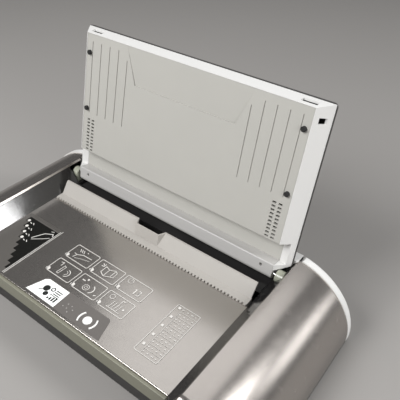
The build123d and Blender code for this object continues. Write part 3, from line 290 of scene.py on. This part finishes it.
def moulded_plastic(name, tint, roughness, grain=0.45 * MM, depth=0.02 * MM, vary=0.05):
    """Spark-eroded moulding: fine grain, slight colour drift and a trace of handling."""
    handling = 0.04  # how much smoother it is where it is touched most
    paint = Paint(name)
    drift = paint.noise(45 * MM, detail=4.0)
    touch = paint.ramp(paint.noise(20 * MM, detail=5.0, roughness=0.6), [(0.45, 0.0), (0.75, 1.0)])
    base = paint.shade(tint, drift, vary)
    rough = paint.noise(8 * MM, detail=3.0).spread(roughness - 0.05, roughness + 0.05)
    rough -= touch * handling
    bumps = paint.relief(paint.noise(grain, detail=3.0, roughness=0.6), depth)
    return paint.finish(base, rough, bumps)


def gloss_plastic(name, tint, roughness, vary=0.06, dust=0.1, shine=0.5):
    """Polished plastic with faint smears and a little dust."""
    dust_tint, dust_roughness = (0.4, 0.39, 0.37), 0.25
    paint = Paint(name)
    smear = paint.noise(30 * MM, detail=4.0, roughness=0.6, stretch=(1.0, 3.0, 1.0))
    specks = paint.ramp(paint.noise(1.2 * MM, detail=1.0), [(0.7, 0.0), (0.78, 1.0)])
    base = paint.mix(specks * dust, paint.shade(tint, paint.noise(40 * MM), vary), dust_tint)
    rough = smear.spread(roughness - 0.03, roughness + 0.05) + specks * dust_roughness
    ripple = paint.relief(paint.noise(6 * MM, detail=1.0), 0.02 * MM, strength=0.5)
    return paint.finish(base, rough, ripple, Specular_IOR_Level=shine)


def rubber(name, tint):
    """Matt rubber with a pebbled skin."""
    paint = Paint(name)
    base = paint.shade(tint, paint.noise(3 * MM, detail=4.0), 0.25)
    rough = paint.noise(2 * MM, detail=3.0).spread(0.65, 0.85)
    return paint.finish(base, rough, paint.relief(paint.noise(0.6 * MM, detail=3.0), 0.08 * MM))


def steel(name, tint, roughness, lines_along=DRAWN_ALONG_X):
    """Drawn or brushed metal: fine lines along one axis and faint blotches."""
    contrast = 0.15
    paint = Paint(name)
    lines = paint.noise(6 * MM, detail=4.0, roughness=0.6, stretch=lines_along)
    base = paint.shade(tint, lines * 0.7 + paint.noise(10 * MM, detail=4.0) * 0.3, contrast)
    rough = lines.spread(roughness - 0.06, roughness + 0.1)
    return paint.finish(base, rough, paint.relief(lines, 0.01 * MM), Metallic=1.0)


def circuit_board(name, tint):
    """Green board: solder mask over faint copper tracks."""
    turn_x, turn_y = 1800.0, 1300.0
    narrow_x, narrow_y = 0.93, 0.95  # nearer to 1 makes a narrower track
    over_copper = [min(1, channel * 2.2 + 0.02) for channel in tint]
    paint = Paint(name)
    x, y, _ = paint.axes()
    tracks = (x.wave(turn_x) > narrow_x).high(y.wave(turn_y) > narrow_y)
    patch = paint.ramp(paint.noise(12 * MM, detail=0.0), [(0.48, 0.0), (0.5, 1.0)])
    base = paint.mix(tracks * patch, tint, over_copper)
    rough = paint.noise(10 * MM).spread(0.3, 0.45)
    return paint.finish(base, rough, paint.relief(tracks * patch, 0.03 * MM))


def lit_display(name, tint, glow):
    """Backlit liquid-crystal glass with its fine pixel grid."""
    grid_turn, grid_line, grid_contrast = 5200.0, 0.1, 0.2
    dimmed = [channel * 0.7 for channel in tint]
    paint = Paint(name)
    x, y, _ = paint.axes()
    grid = (x.wave(grid_turn) < grid_line).high(y.wave(grid_turn) < grid_line)
    base = paint.mix(grid * grid_contrast, tint, dimmed)
    light = paint.mix(paint.noise(20 * MM).spread(0.92, 1.0), (0, 0, 0), tint)
    rough = paint.noise(10 * MM).spread(0.16, 0.26)
    return paint.finish(base, rough, Emission_Color=light, Emission_Strength=glow)


def printed_ink(name, tint, roughness=0.5):
    """Screen-printed ink with a slightly broken surface."""
    paint = Paint(name)
    wear = paint.noise(0.7 * MM, detail=3.0, roughness=0.6)
    base = paint.shade(tint, wear, 0.08)
    rough = wear.spread(roughness - 0.06, roughness + 0.1)
    return paint.finish(base, rough, paint.relief(wear, 0.01 * MM))


def dress(material, *names):
    """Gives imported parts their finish."""
    for name in names:
        slots = NODES[name].data.materials
        slots.clear()
        slots.append(material)


# ---------------------------------------------------------------- meshes
def add_piece(name, verts, faces, material, body):
    """Makes an object of the given points and faces and fixes it to a body."""
    mesh = bpy.data.meshes.new(name)
    mesh.from_pydata(verts.tolist(), [], faces)
    mesh.update()
    made = bpy.data.objects.new(name, mesh)
    bpy.context.scene.collection.objects.link(made)
    mesh.materials.append(material)
    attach(made, body)


class Print:
    """Flat ink shapes on a level surface, gathered into one thin closed mesh."""
    SIDES = 4  # corners of a band's cross-section, and of each face between two of them
    SHARPEST_COSINE = 0.4  # where a line turns more sharply, its corner is cut short
    CIRCLE_STEPS, PINHOLE = 28, 0.02  # the pinhole, a share of the radius, spares a disc its pole
    CORNER_STEPS = 6

    def __init__(self, z, thickness):
        self.z, self.thickness = z, thickness
        self.verts, self.faces = [], []

    def slab(self, left, right, closed):
        """Raised band between two edges given as arrays of XY points.

        Formula: each pair of edge points makes a cross-section of four corners, two on the
        surface and two one ink thickness above it; neighbouring sections are joined.
        """
        count, sides = len(left), self.SIDES
        low, high = np.full((count, 1), self.z), np.full((count, 1), self.z + self.thickness)
        section = ((left, low), (left, high), (right, high), (right, low))
        rings = [np.hstack([edge, level]) for edge, level in section]
        start = sum(len(points) for points in self.verts)
        self.verts.append(np.stack(rings, 1).reshape(-1, 3))
        here = np.arange(count if closed else count - 1)[:, None, None]
        ahead = (here + 1) % count
        side = np.arange(sides)[None, :, None]
        beside = (side + 1) % sides
        quads = [here * sides + side, ahead * sides + side,
                 ahead * sides + beside, here * sides + beside]
        self.faces.extend((np.concatenate(quads, 2).reshape(-1, sides) + start).tolist())
        if not closed:
            end = start + (count - 1) * sides
            self.faces.append([start + corner for corner in range(sides)])
            self.faces.append([end + corner for corner in reversed(range(sides))])

    def line(self, points, width, closed=False):
        """Stroke of one width along a path.

        Formula: at each point the edges lie half a width either side along the mitred normal,
        the normalised sum of the normals of the two neighbouring runs over their cosine.
        """
        points = np.asarray(points, float)
        step = np.roll(points, -1, 0) - points
        if not closed:
            step[-1] = step[-2]
        step /= np.linalg.norm(step, axis=1)[:, None]
        normal = np.stack([-step[:, 1], step[:, 0]], 1)
        before = np.roll(normal, 1, 0)
        if not closed:
            before[0] = normal[0]
        mitre = normal + before
        mitre /= np.linalg.norm(mitre, axis=1)[:, None]
        cosine = np.maximum(self.SHARPEST_COSINE, (mitre * normal).sum(1))
        reach = width / 2 / cosine[:, None]
        self.slab(points + mitre * reach, points - mitre * reach, closed)

    def disc(self, centre, radius, inner=0.0, start=0.0, end=2 * pi):
        """Disc, ring or arc: the edges are circles of the outer and the inner radius."""
        full = end - start >= 2 * pi
        angle = np.linspace(start, end, self.CIRCLE_STEPS, endpoint=not full)
        unit = np.stack([np.cos(angle), np.sin(angle)], 1)
        self.slab(centre + unit * radius, centre + unit * max(inner, radius * self.PINHOLE), full)

    def block(self, left, right, front, rear):
        """Filled rectangle: the band between its rear and its front edge."""
        rear_edge, front_edge = [[left, rear], [right, rear]], [[left, front], [right, front]]
        self.slab(np.array(rear_edge), np.array(front_edge), False)

    def rounded(self, left, right, front, rear, radius, width):
        """Outline of a rectangle with round corners.

        Formula: the path is a quarter turn of the radius about each corner's centre,
        anticlockwise from the rear right corner.
        """
        centres = np.array([(right - radius, rear - radius), (left + radius, rear - radius),
                            (left + radius, front + radius), (right - radius, front + radius)])
        arcs = []
        for quarter, centre in enumerate(centres):
            angle = np.linspace(0, pi / 2, self.CORNER_STEPS) + quarter * pi / 2
            arcs.append(centre + radius * np.stack([np.cos(angle), np.sin(angle)], 1))
        self.line(np.concatenate(arcs), width, closed=True)

    def make(self, name, material):
        """Adds the gathered shapes to the base as one piece."""
        add_piece(name, np.concatenate(self.verts), self.faces, material, "base")


class Picture:
    """Drawing in millimetres from one corner, added to a print."""

    def __init__(self, art, x, y):
        self.art, self.corner = art, np.array([x, y])

    def place(self, x, y):
        """A point of the drawing, in metres."""
        return self.corner + np.array([x, y]) * MM

    def stroke(self, width, *points, closed=False):
        """Line through the points."""
        self.art.line([self.place(x, y) for x, y in points], width * MM, closed)

    def dot(self, x, y, radius):
        """Filled disc."""
        self.art.disc(self.place(x, y), radius * MM)

    def ring(self, x, y, radius, width=0.7, start=0.0, end=2 * pi):
        """Ring, or arc from one angle to another."""
        self.art.disc(self.place(x, y), radius * MM, (radius - width) * MM, start, end)


# ---------------------------------------------------------------- drawings, in millimetres
def draw_cover_and_sheets(picture):
    """A cover opened beside three sheets."""
    for k in range(3):
        picture.stroke(0.9, (9 + 3 * k, 20.5), (12 + 3 * k, 16))
    picture.dot(22, 20, 0.8)
    picture.stroke(1.0, (10, 4), (12, 10), (20, 14), (34, 14.5))
    picture.stroke(0.5, (13, 4), (22, 7.5), (34, 10.5))
    picture.stroke(0.8, (12, 10), (7, 10.5))


def draw_sheets_into_cover(picture):
    """Sheets going into a folded cover."""
    picture.stroke(0.9, (20, 4), (20, 16), (28, 19.5), (28, 7.5), closed=True)
    picture.stroke(1.0, (20, 4), (13, 7.5), (13, 18), (20, 16))
    picture.stroke(0.8, (28, 19.5), (32, 17), (32, 9), (28, 7.5))
    picture.stroke(1.1, (6, 20), (9, 18))
    picture.stroke(0.9, (10, 21), (10, 16), (6, 16))


def draw_thickness(picture):
    """A clock and two numerals."""
    picture.ring(9, 19, 4.0)
    picture.stroke(0.6, (9, 19), (11.6, 20.7))
    picture.stroke(0.6, (9, 19), (9, 21.6))
    picture.stroke(1.5, (23, 12), (24.5, 13), (24.5, 5))
    for y in (11.2, 7.2):
        picture.ring(30, y, 2.5, 1.1, -2.3, 2.3)


def draw_standing_document(picture):
    """A document stood upright in the slot."""
    picture.stroke(0.9, (7, 20), (11, 21), (11, 15))
    picture.stroke(0.7, (15, 4), (16, 18), (19, 17), (18, 4), closed=True)
    picture.ring(26, 10, 6.0, 1.0, -1.4, 1.6)
    picture.ring(25, 10, 3.4, 0.6, -1.4, 1.6)


def draw_press_start(picture):
    """A finger on the start key."""
    picture.dot(12, 19.5, 1.5)
    picture.stroke(1.5, (5, 16), (10, 16))
    picture.ring(18, 9, 4.6)
    picture.ring(18, 9, 2.2, 0.6)
    picture.ring(23, 10, 7.0, 1.3, -1.1, 1.2)
    picture.stroke(1.2, (34, 5), (37, 7))


def draw_cooling_rack(picture):
    """Documents cooling on a rack."""
    picture.ring(9, 18.5, 3.6)
    for k in range(4):
        picture.stroke(0.8, (15 + 4 * k, 4), (16.2 + 4 * k, 15))
    picture.stroke(0.9, (12, 4), (32, 4))
    picture.dot(33, 11, 1.5)
    picture.stroke(0.9, (24, 16), (24, 21), (28, 21))


PICTURES = (
    (draw_cover_and_sheets, draw_sheets_into_cover, draw_thickness),
    (draw_standing_document, draw_press_start, draw_cooling_rack),
)


def draw_gauge_mark(picture, x, y):
    """A disc and two strokes on one step of the gauge."""
    picture.dot(x + 4.3, y, 2.3)
    picture.stroke(1.2, (x + 9, y - 1.5), (x + 12.5, y - 2.5))
    picture.stroke(1.0, (x + 14, y), (x + 17, y - 3))


def draw_held_sheets(picture):
    """Sheets held against the top of the gauge."""
    picture.stroke(1.2, (-124, -60), (-116, -44), (-106, -38), (-103, -42))
    picture.stroke(0.9, (-122, -62), (-110, -52), (-104, -46))
    picture.stroke(0.8, (-112, -36), (-108, -34))


def draw_segments(picture):
    """Two discs, a ring, a slanted stroke, rising bars and level lines."""
    picture.dot(20, 15, 4.6)
    picture.dot(25, 8.5, 3.4)
    picture.ring(28.5, 18, 3.2, 1.5)
    picture.stroke(1.3, (13, 8), (17, 12))
    for k in range(4):
        picture.stroke(2.4, (32 + 3.6 * k, 4), (32 + 3.6 * k, 7 + 1.6 * k))
    for k in range(3):
        picture.stroke(1.4, (33, 13.5 + 2.9 * k), (43, 13.5 + 2.9 * k))
    picture.stroke(1.0, (30, 11.2), (44, 11.2))


# ---------------------------------------------------------------- operators
class BINDER_OT_casing(bpy.types.Operator):
    """Finish the wings, deck, gauge plate, trims, fascia, tray, covers, feet, screws and brackets"""
    bl_idname = "binder.casing"
    bl_label = "Casing"

    def execute(self, context):
        finishes = context.scene.binder_finishes
        dress(metallic_paint("deck_paint", finishes.deck, roughness=0.17, soft=False), "deck_panel")
        dress(metallic_paint("wing_paint", finishes.wing, roughness=0.22),
              "left_wing_cover", "right_wing_cover")
        dress(gloss_plastic("black_gloss", (0.018, 0.017, 0.017), roughness=0.1, shine=1.0),
              "left_side_trim", "right_side_trim")
        dress(gloss_plastic("gauge_gloss", finishes.gauge, roughness=0.16), "gauge_plate")
        dress(moulded_plastic("cover_plastic", finishes.cover, roughness=0.38,
                              grain=0.6 * MM, depth=0.01 * MM, vary=0.03),
              "left_wing_end_cap", "right_wing_end_cap", "rear_cover")
        dress(moulded_plastic("fascia_plastic", finishes.fascia, roughness=0.42), "front_fascia")
        dress(moulded_plastic("tray_plastic", (0.035, 0.034, 0.033), roughness=0.6,
                              grain=0.9 * MM, depth=0.04 * MM, vary=0.12),
              "bottom_tray")
        dress(rubber("foot_rubber", (0.03, 0.03, 0.03)), "rubber_feet")
        dress(steel("black_screw", (0.1, 0.1, 0.1), roughness=0.35), "base_screws", "lid_screws")
        dress(gloss_plastic("knuckle_gloss", (0.36, 0.37, 0.3), roughness=0.14),
              "left_hinge_bracket", "right_hinge_bracket")
        return {"FINISHED"}


class BINDER_OT_slot(bpy.types.Operator):
    """Finish the binding slot, the heater, the document guide, its rails and the hinge pins"""
    bl_idname = "binder.slot"
    bl_label = "Slot and guide"

    def execute(self, context):
        dress(moulded_plastic("surround_plastic", (0.022, 0.021, 0.021), roughness=0.5,
                              grain=0.7 * MM, depth=0.03 * MM, vary=0.12),
              "heater_surround", "left_slot_end", "right_slot_end")
        dress(steel("heater_metal", (0.62, 0.62, 0.62), roughness=0.32), "heater_plate")
        dress(moulded_plastic("mica", (0.35, 0.28, 0.2), roughness=0.6,
                              grain=1.0 * MM, depth=0.03 * MM, vary=0.2),
              "heater_element")
        dress(moulded_plastic("insulator", (0.68, 0.66, 0.6), roughness=0.85,
                              grain=0.8 * MM, depth=0.06 * MM, vary=0.1),
              "heater_insulator")
        dress(steel("zinc_strap", (0.6, 0.6, 0.58), roughness=0.35, lines_along=DRAWN_ALONG_Y),
              "clamp_straps")
        dress(gloss_plastic("thermostat_black", (0.04, 0.04, 0.04), roughness=0.3), "thermostat")
        dress(moulded_plastic("guide_plastic", context.scene.binder_finishes.guide, roughness=0.42,
                              grain=0.5 * MM, depth=0.015 * MM, vary=0.03),
              "document_guide")
        dress(moulded_plastic("carriage_plastic", (0.05, 0.05, 0.05), roughness=0.4), "guide_carriages")
        dress(steel("ground_rod", (0.66, 0.66, 0.66), roughness=0.15, lines_along=DRAWN_ALONG_Y),
              "guide_rails", "hinge_pins")
        return {"FINISHED"}


class BINDER_OT_lid(bpy.types.Operator):
    """Finish the lid's panel, frame, shell, beam and bumpers"""
    bl_idname = "binder.lid"
    bl_label = "Lid"

    def execute(self, context):
        finishes = context.scene.binder_finishes
        dress(moulded_plastic("panel_plastic", finishes.panel, roughness=0.46,
                              grain=0.5 * MM, depth=0.018 * MM, vary=0.03),
              "lid_inner_panel")
        dress(moulded_plastic("frame_plastic", finishes.cover, roughness=0.34,
                              grain=0.6 * MM, depth=0.01 * MM, vary=0.02),
              "lid_frame")
        dress(moulded_plastic("shell_plastic", finishes.shell, roughness=0.36,
                              grain=0.6 * MM, depth=0.02 * MM, vary=0.08),
              "lid_shell")
        dress(moulded_plastic("beam_plastic", finishes.beam, roughness=0.38,
                              grain=0.5 * MM, depth=0.015 * MM, vary=0.03),
              "hinge_beam")
        dress(rubber("bumper_rubber", (0.012, 0.012, 0.012)), "lid_bumpers")
        return {"FINISHED"}


class BINDER_OT_controls(bpy.types.Operator):
    """Finish the control strip, its keys, display and lamps, and the circuit boards"""
    bl_idname = "binder.controls"
    bl_label = "Controls"

    def execute(self, context):
        dress(gloss_plastic("strip_gloss", context.scene.binder_finishes.strip, roughness=0.4),
              "strip_bezel")
        dress(lit_display("display_glass", (0.88, 0.9, 0.88), glow=0.3),
              "display_window", "display_module")
        dress(gloss_plastic("key_white", (0.84, 0.83, 0.81), roughness=0.25, vary=0.02, dust=0.03),
              "start_button", "left_arc_key", "right_arc_key")
        dress(circuit_board("board_mask", (0.03, 0.16, 0.06)), "control_board", "power_board")
        dress(lit_display("lamp_plastic", (0.34, 0.325, 0.31), glow=0.02), "lamp_guides")
        return {"FINISHED"}


class BINDER_OT_mains(bpy.types.Operator):
    """Finish the mains inlet and switch"""
    bl_idname = "binder.mains"
    bl_label = "Mains parts"

    def execute(self, context):
        dress(moulded_plastic("socket_plastic", (0.025, 0.025, 0.025), roughness=0.45),
              "power_inlet", "switch_housing")
        dress(gloss_plastic("rocker_gloss", (0.02, 0.02, 0.02), roughness=0.18), "power_rocker")
        return {"FINISHED"}


class BINDER_OT_deck_print(bpy.types.Operator):
    """Print the instruction pictures on the deck, each in a frame with a disc at its corner"""
    bl_idname = "binder.deck_print"
    bl_label = "Deck printing"
    left, rear, corner = -64.0 * MM, -30.0 * MM, 2.2 * MM
    disc_x, disc_y, disc_radius = 1.5, 2.8, 3.0  # millimetres, as in the drawings

    def execute(self, context):
        printing = context.scene.binder_printing
        ink = printed_ink("white_ink", printing.ink)
        for row, drawings in enumerate(PICTURES):
            for column, draw in enumerate(drawings):
                x = self.left + column * printing.picture_pitch_x
                y = self.rear - row * printing.picture_pitch_y - printing.picture_depth
                art = Print(DECK_TOP, printing.thickness)
                art.rounded(x, x + printing.picture_width, y, y + printing.picture_depth,
                            self.corner, printing.line)
                picture = Picture(art, x, y)
                picture.dot(self.disc_x, self.disc_y, self.disc_radius)
                draw(picture)
                art.make(f"print_picture_{row + 1}_{column + 1}", ink)
        return {"FINISHED"}


class BINDER_OT_table_print(bpy.types.Operator):
    """Print the small table at the right of the deck"""
    bl_idname = "binder.table_print"
    bl_label = "Table printing"
    left, right, rear, corner = 102.5 * MM, 134.5 * MM, -28.0 * MM, 2.0 * MM
    border, rule = 0.8, 0.45  # widths as shares of the line width
    rows, row_pitch = 10, 7.7 * MM
    bullet_x, bullet = 4.4 * MM, 1.7 * MM
    # millimetres, as in the drawings: columns of short strokes in three lengths
    columns, column_start, column_pitch = 4, 9.5, 5.8
    stroke_width, shortest, longer_by, lengths = 1.0, 1.6, 0.8, 3

    def execute(self, context):
        printing = context.scene.binder_printing
        art = Print(DECK_TOP, printing.thickness)
        front = self.rear - self.rows * self.row_pitch
        edge = self.left + 2 * self.bullet_x
        art.rounded(self.left, self.right, front, self.rear, self.corner,
                    printing.line * self.border)
        for row in range(1, self.rows):
            y = self.rear - row * self.row_pitch
            art.line([(edge, y), (self.right, y)], printing.line * self.rule)
        art.line([(edge, front), (edge, self.rear)], printing.line * self.rule)
        for row in range(self.rows):
            y = self.rear - (row + 0.5) * self.row_pitch
            if row % 2 == 0:  # every other row has a bullet
                x = self.left + self.bullet_x
                art.block(x - self.bullet, x + self.bullet, y - self.bullet, y + self.bullet)
            picture = Picture(art, self.left, y)
            for column in range(self.columns):
                x = self.column_start + column * self.column_pitch
                end = x + self.shortest + self.longer_by * ((row + column) % self.lengths)
                picture.stroke(self.stroke_width, (x, 0), (end, 0))
        art.make("print_table", printed_ink("table_ink", printing.ink))
        return {"FINISHED"}


class BINDER_OT_gauge_print(bpy.types.Operator):
    """Print the black steps of the thickness gauge, and paint highlights on its rim as two light lines
    """
    bl_idname = "binder.gauge_print"
    bl_label = "Gauge printing"
    # millimetres
    left, rear, front, right_margin = -159.0, -32.5, -117.5, 4.4
    steps, step_run, step_fall = 9, 6.6, 9.2
    marks, mark_drop = 4, 0.7  # a mark's centre is this share of a step's fall before its rear edge
    # rim_height is the rim's rise above the plate; the other four place the two light lines that paint
    # highlights on the rim's raised ridge
    rim_height, rim_inset, rim_pitch, rim_line, rim_front = 0.6, 0.5, 2.2, 0.8, 1.0

    def execute(self, context):
        printing = context.scene.binder_printing
        # one light ink for the printed marks and for the painted highlights on the rim
        ink = printed_ink("gauge_ink", printing.ink)
        self.print_steps(printing, ink)
        self.print_rim(printing, ink)
        return {"FINISHED"}

    def print_steps(self, printing, ink):
        """Blocks that start further right towards the front, and the light marks on top of them."""
        face = GAUGE_HIGH[2] - self.rim_height * MM
        right = GAUGE_HIGH[0] / MM - self.right_margin
        steps = Print(face, printing.thickness)
        marks = Print(face + printing.thickness, printing.thickness)
        picture = Picture(marks, 0, 0)
        for k in range(self.steps):
            x, y = self.left + k * self.step_run, self.rear - k * self.step_fall
            front = max(y - self.step_fall, self.front)
            steps.block(x * MM, right * MM, front * MM, y * MM)
            if k < self.marks:
                draw_gauge_mark(picture, x, y - self.step_fall * self.mark_drop)
        draw_held_sheets(picture)
        steps.make("print_gauge_steps", printed_ink("gauge_black_ink", (0.008, 0.008, 0.007), 0.2))
        marks.make("print_gauge_marks", ink)

    def print_rim(self, printing, ink):
        """Painted highlights: two light lines along the right side of the rim, standing in for the
        light caught by its raised ridge.
        """
        rim = Print(GAUGE_HIGH[2], printing.thickness)
        for offset in (self.rim_inset * MM, self.rim_inset * MM + self.rim_pitch * MM):
            x = GAUGE_HIGH[0] - offset
            rear, front = GAUGE_HIGH[1] - offset, GAUGE_LOW[1] + self.rim_front * MM
            rim.line([(x, rear), (x, front)], self.rim_line * MM)
        rim.make("print_gauge_rim", ink)


class BINDER_OT_display_print(bpy.types.Operator):
    """Draw the display's dark segments"""
    bl_idname = "binder.display_print"
    bl_label = "Display segments"
    thickness = 0.02 * MM

    def execute(self, context):
        art = Print(WINDOW_HIGH[2], self.thickness)
        draw_segments(Picture(art, WINDOW_LOW[0], WINDOW_LOW[1]))
        ink = printed_ink("segment_dark", (0.012, 0.014, 0.013), 0.35)
        art.make("display_segments", ink)
        return {"FINISHED"}


class BINDER_OT_stage(bpy.types.Operator):
    """Lay the floor and set the lights and the camera"""
    bl_idname = "binder.stage"
    bl_label = "Stage"
    floor_half, aim = 40.0, (0.0, 0.0, 0.1)
    # each softbox: its place, its width and depth, and the setting that holds its power
    softboxes = {
        "front_light": ((-0.7, -1.25, 1.5), (1.1, 1.0), "front_power"),
        "top_light": ((-0.12, 1.1, 2.15), (2.5, 1.2), "top_power"),
        "low_light": ((1.75, 1.2, 0.62), (0.5, 0.45), "low_power"),
        "side_light": ((2.5, 0.92, 2.1), (0.8, 1.0), "side_power"),
        "fill_light": ((1.5, -0.45, 0.75), (0.7, 0.7), "fill_power"),
    }

    def execute(self, context):
        settings = context.scene.binder_stage
        context.scene.view_settings.view_transform = "Standard"
        self.floor(settings)
        self.world(settings)
        for name, (place, size, setting) in self.softboxes.items():
            self.softbox(name, place, size, getattr(settings, setting))
        self.camera()
        return {"FINISHED"}

    def floor(self, settings):
        """Level square well beyond the view."""
        half = self.floor_half
        grid = np.array([[x, y, 0.0] for y in (-half, half) for x in (-half, half)])
        mesh = bpy.data.meshes.new("floor")
        mesh.from_pydata(grid.tolist(), [], [[0, 1, 3, 2]])
        floor = bpy.data.objects.new("floor", mesh)
        bpy.context.scene.collection.objects.link(floor)
        paint = Paint("floor_paper")
        base = paint.shade(settings.floor, paint.noise(400 * MM), 0.01)
        mesh.materials.append(paint.finish(base, roughness=0.9))

    def world(self, settings):
        """Even light from all round, very slightly cool."""
        world = bpy.data.worlds.new("studio")
        world.use_nodes = True
        bpy.context.scene.world = world
        back = world.node_tree.nodes["Background"]
        back.inputs["Color"].default_value = (0.97, 0.98, 1.0, 1.0)
        back.inputs["Strength"].default_value = settings.sky

    def softbox(self, name, place, size, watts):
        """Rectangular light at a place, turned towards the machine."""
        data = bpy.data.lights.new(name, "AREA")
        data.shape = "RECTANGLE"
        data.size, data.size_y = size
        data.energy = watts
        lamp = bpy.data.objects.new(name, data)
        bpy.context.scene.collection.objects.link(lamp)
        lamp.location = place
        lamp.rotation_euler = (Vector(self.aim) - Vector(place)).to_track_quat("-Z", "Y").to_euler()

    def camera(self):
        """Camera from its azimuth, its angle above the floor and its roll about its own axis."""
        azimuth, elevation, roll = radians(36.14), radians(37.72), radians(1.68)
        place, nearest = (0.35407, -0.33708, 0.53571), 0.01
        sensor, lens = 36.0, 46.25  # millimetres
        view = Vector((-sin(azimuth) * cos(elevation), cos(azimuth) * cos(elevation), -sin(elevation)))
        level = Vector((cos(azimuth), sin(azimuth), 0.0))
        upright = level.cross(view)
        right = level * cos(roll) + upright * sin(roll)
        up = upright * cos(roll) - level * sin(roll)
        data = bpy.data.cameras.new("camera")
        data.sensor_width, data.lens, data.clip_start = sensor, lens, nearest
        camera = bpy.data.objects.new("camera", data)
        bpy.context.scene.collection.objects.link(camera)
        turn = Matrix((right, up, -view)).transposed()
        camera.matrix_world = Matrix.Translation(place) @ turn.to_4x4()
        bpy.context.scene.camera = camera


# ---------------------------------------------------------------- panel and registration
class BINDER_PT_panel(bpy.types.Panel):
    """The operators and the settings they read"""
    bl_label = "Thermal binding machine"
    bl_idname = "BINDER_PT_panel"
    bl_space_type = "VIEW_3D"
    bl_region_type = "UI"
    bl_category = "Binder"

    def draw(self, context):
        for operator in OPERATORS:
            self.layout.operator(operator.bl_idname)
        for group in GROUPS:
            settings = getattr(context.scene, group)
            for name in settings.__annotations__:
                self.layout.prop(settings, name)


GROUPS = {
    "binder_finishes": BinderFinishes,
    "binder_printing": BinderPrinting,
    "binder_stage": BinderStage,
}
OPERATORS = (
    BINDER_OT_casing, BINDER_OT_slot, BINDER_OT_lid, BINDER_OT_controls, BINDER_OT_mains,
    BINDER_OT_deck_print, BINDER_OT_table_print, BINDER_OT_gauge_print, BINDER_OT_display_print,
    BINDER_OT_stage,
)
CLASSES = (*GROUPS.values(), *OPERATORS, BINDER_PT_panel)


def register():
    """Adds the classes and hangs the settings on the scene."""
    for cls in CLASSES:
        bpy.utils.register_class(cls)
    for name, group in GROUPS.items():
        setattr(bpy.types.Scene, name, PointerProperty(type=group))


def unregister():
    """Takes the settings and the classes away again."""
    for name in GROUPS:
        delattr(bpy.types.Scene, name)
    for cls in reversed(CLASSES):
        bpy.utils.unregister_class(cls)


def main():
    """Runs every operator in order."""
    register()
    for operator in OPERATORS:
        group, action = operator.bl_idname.split(".")
        getattr(getattr(bpy.ops, group), action)()


if __name__ == "__main__":
    main()
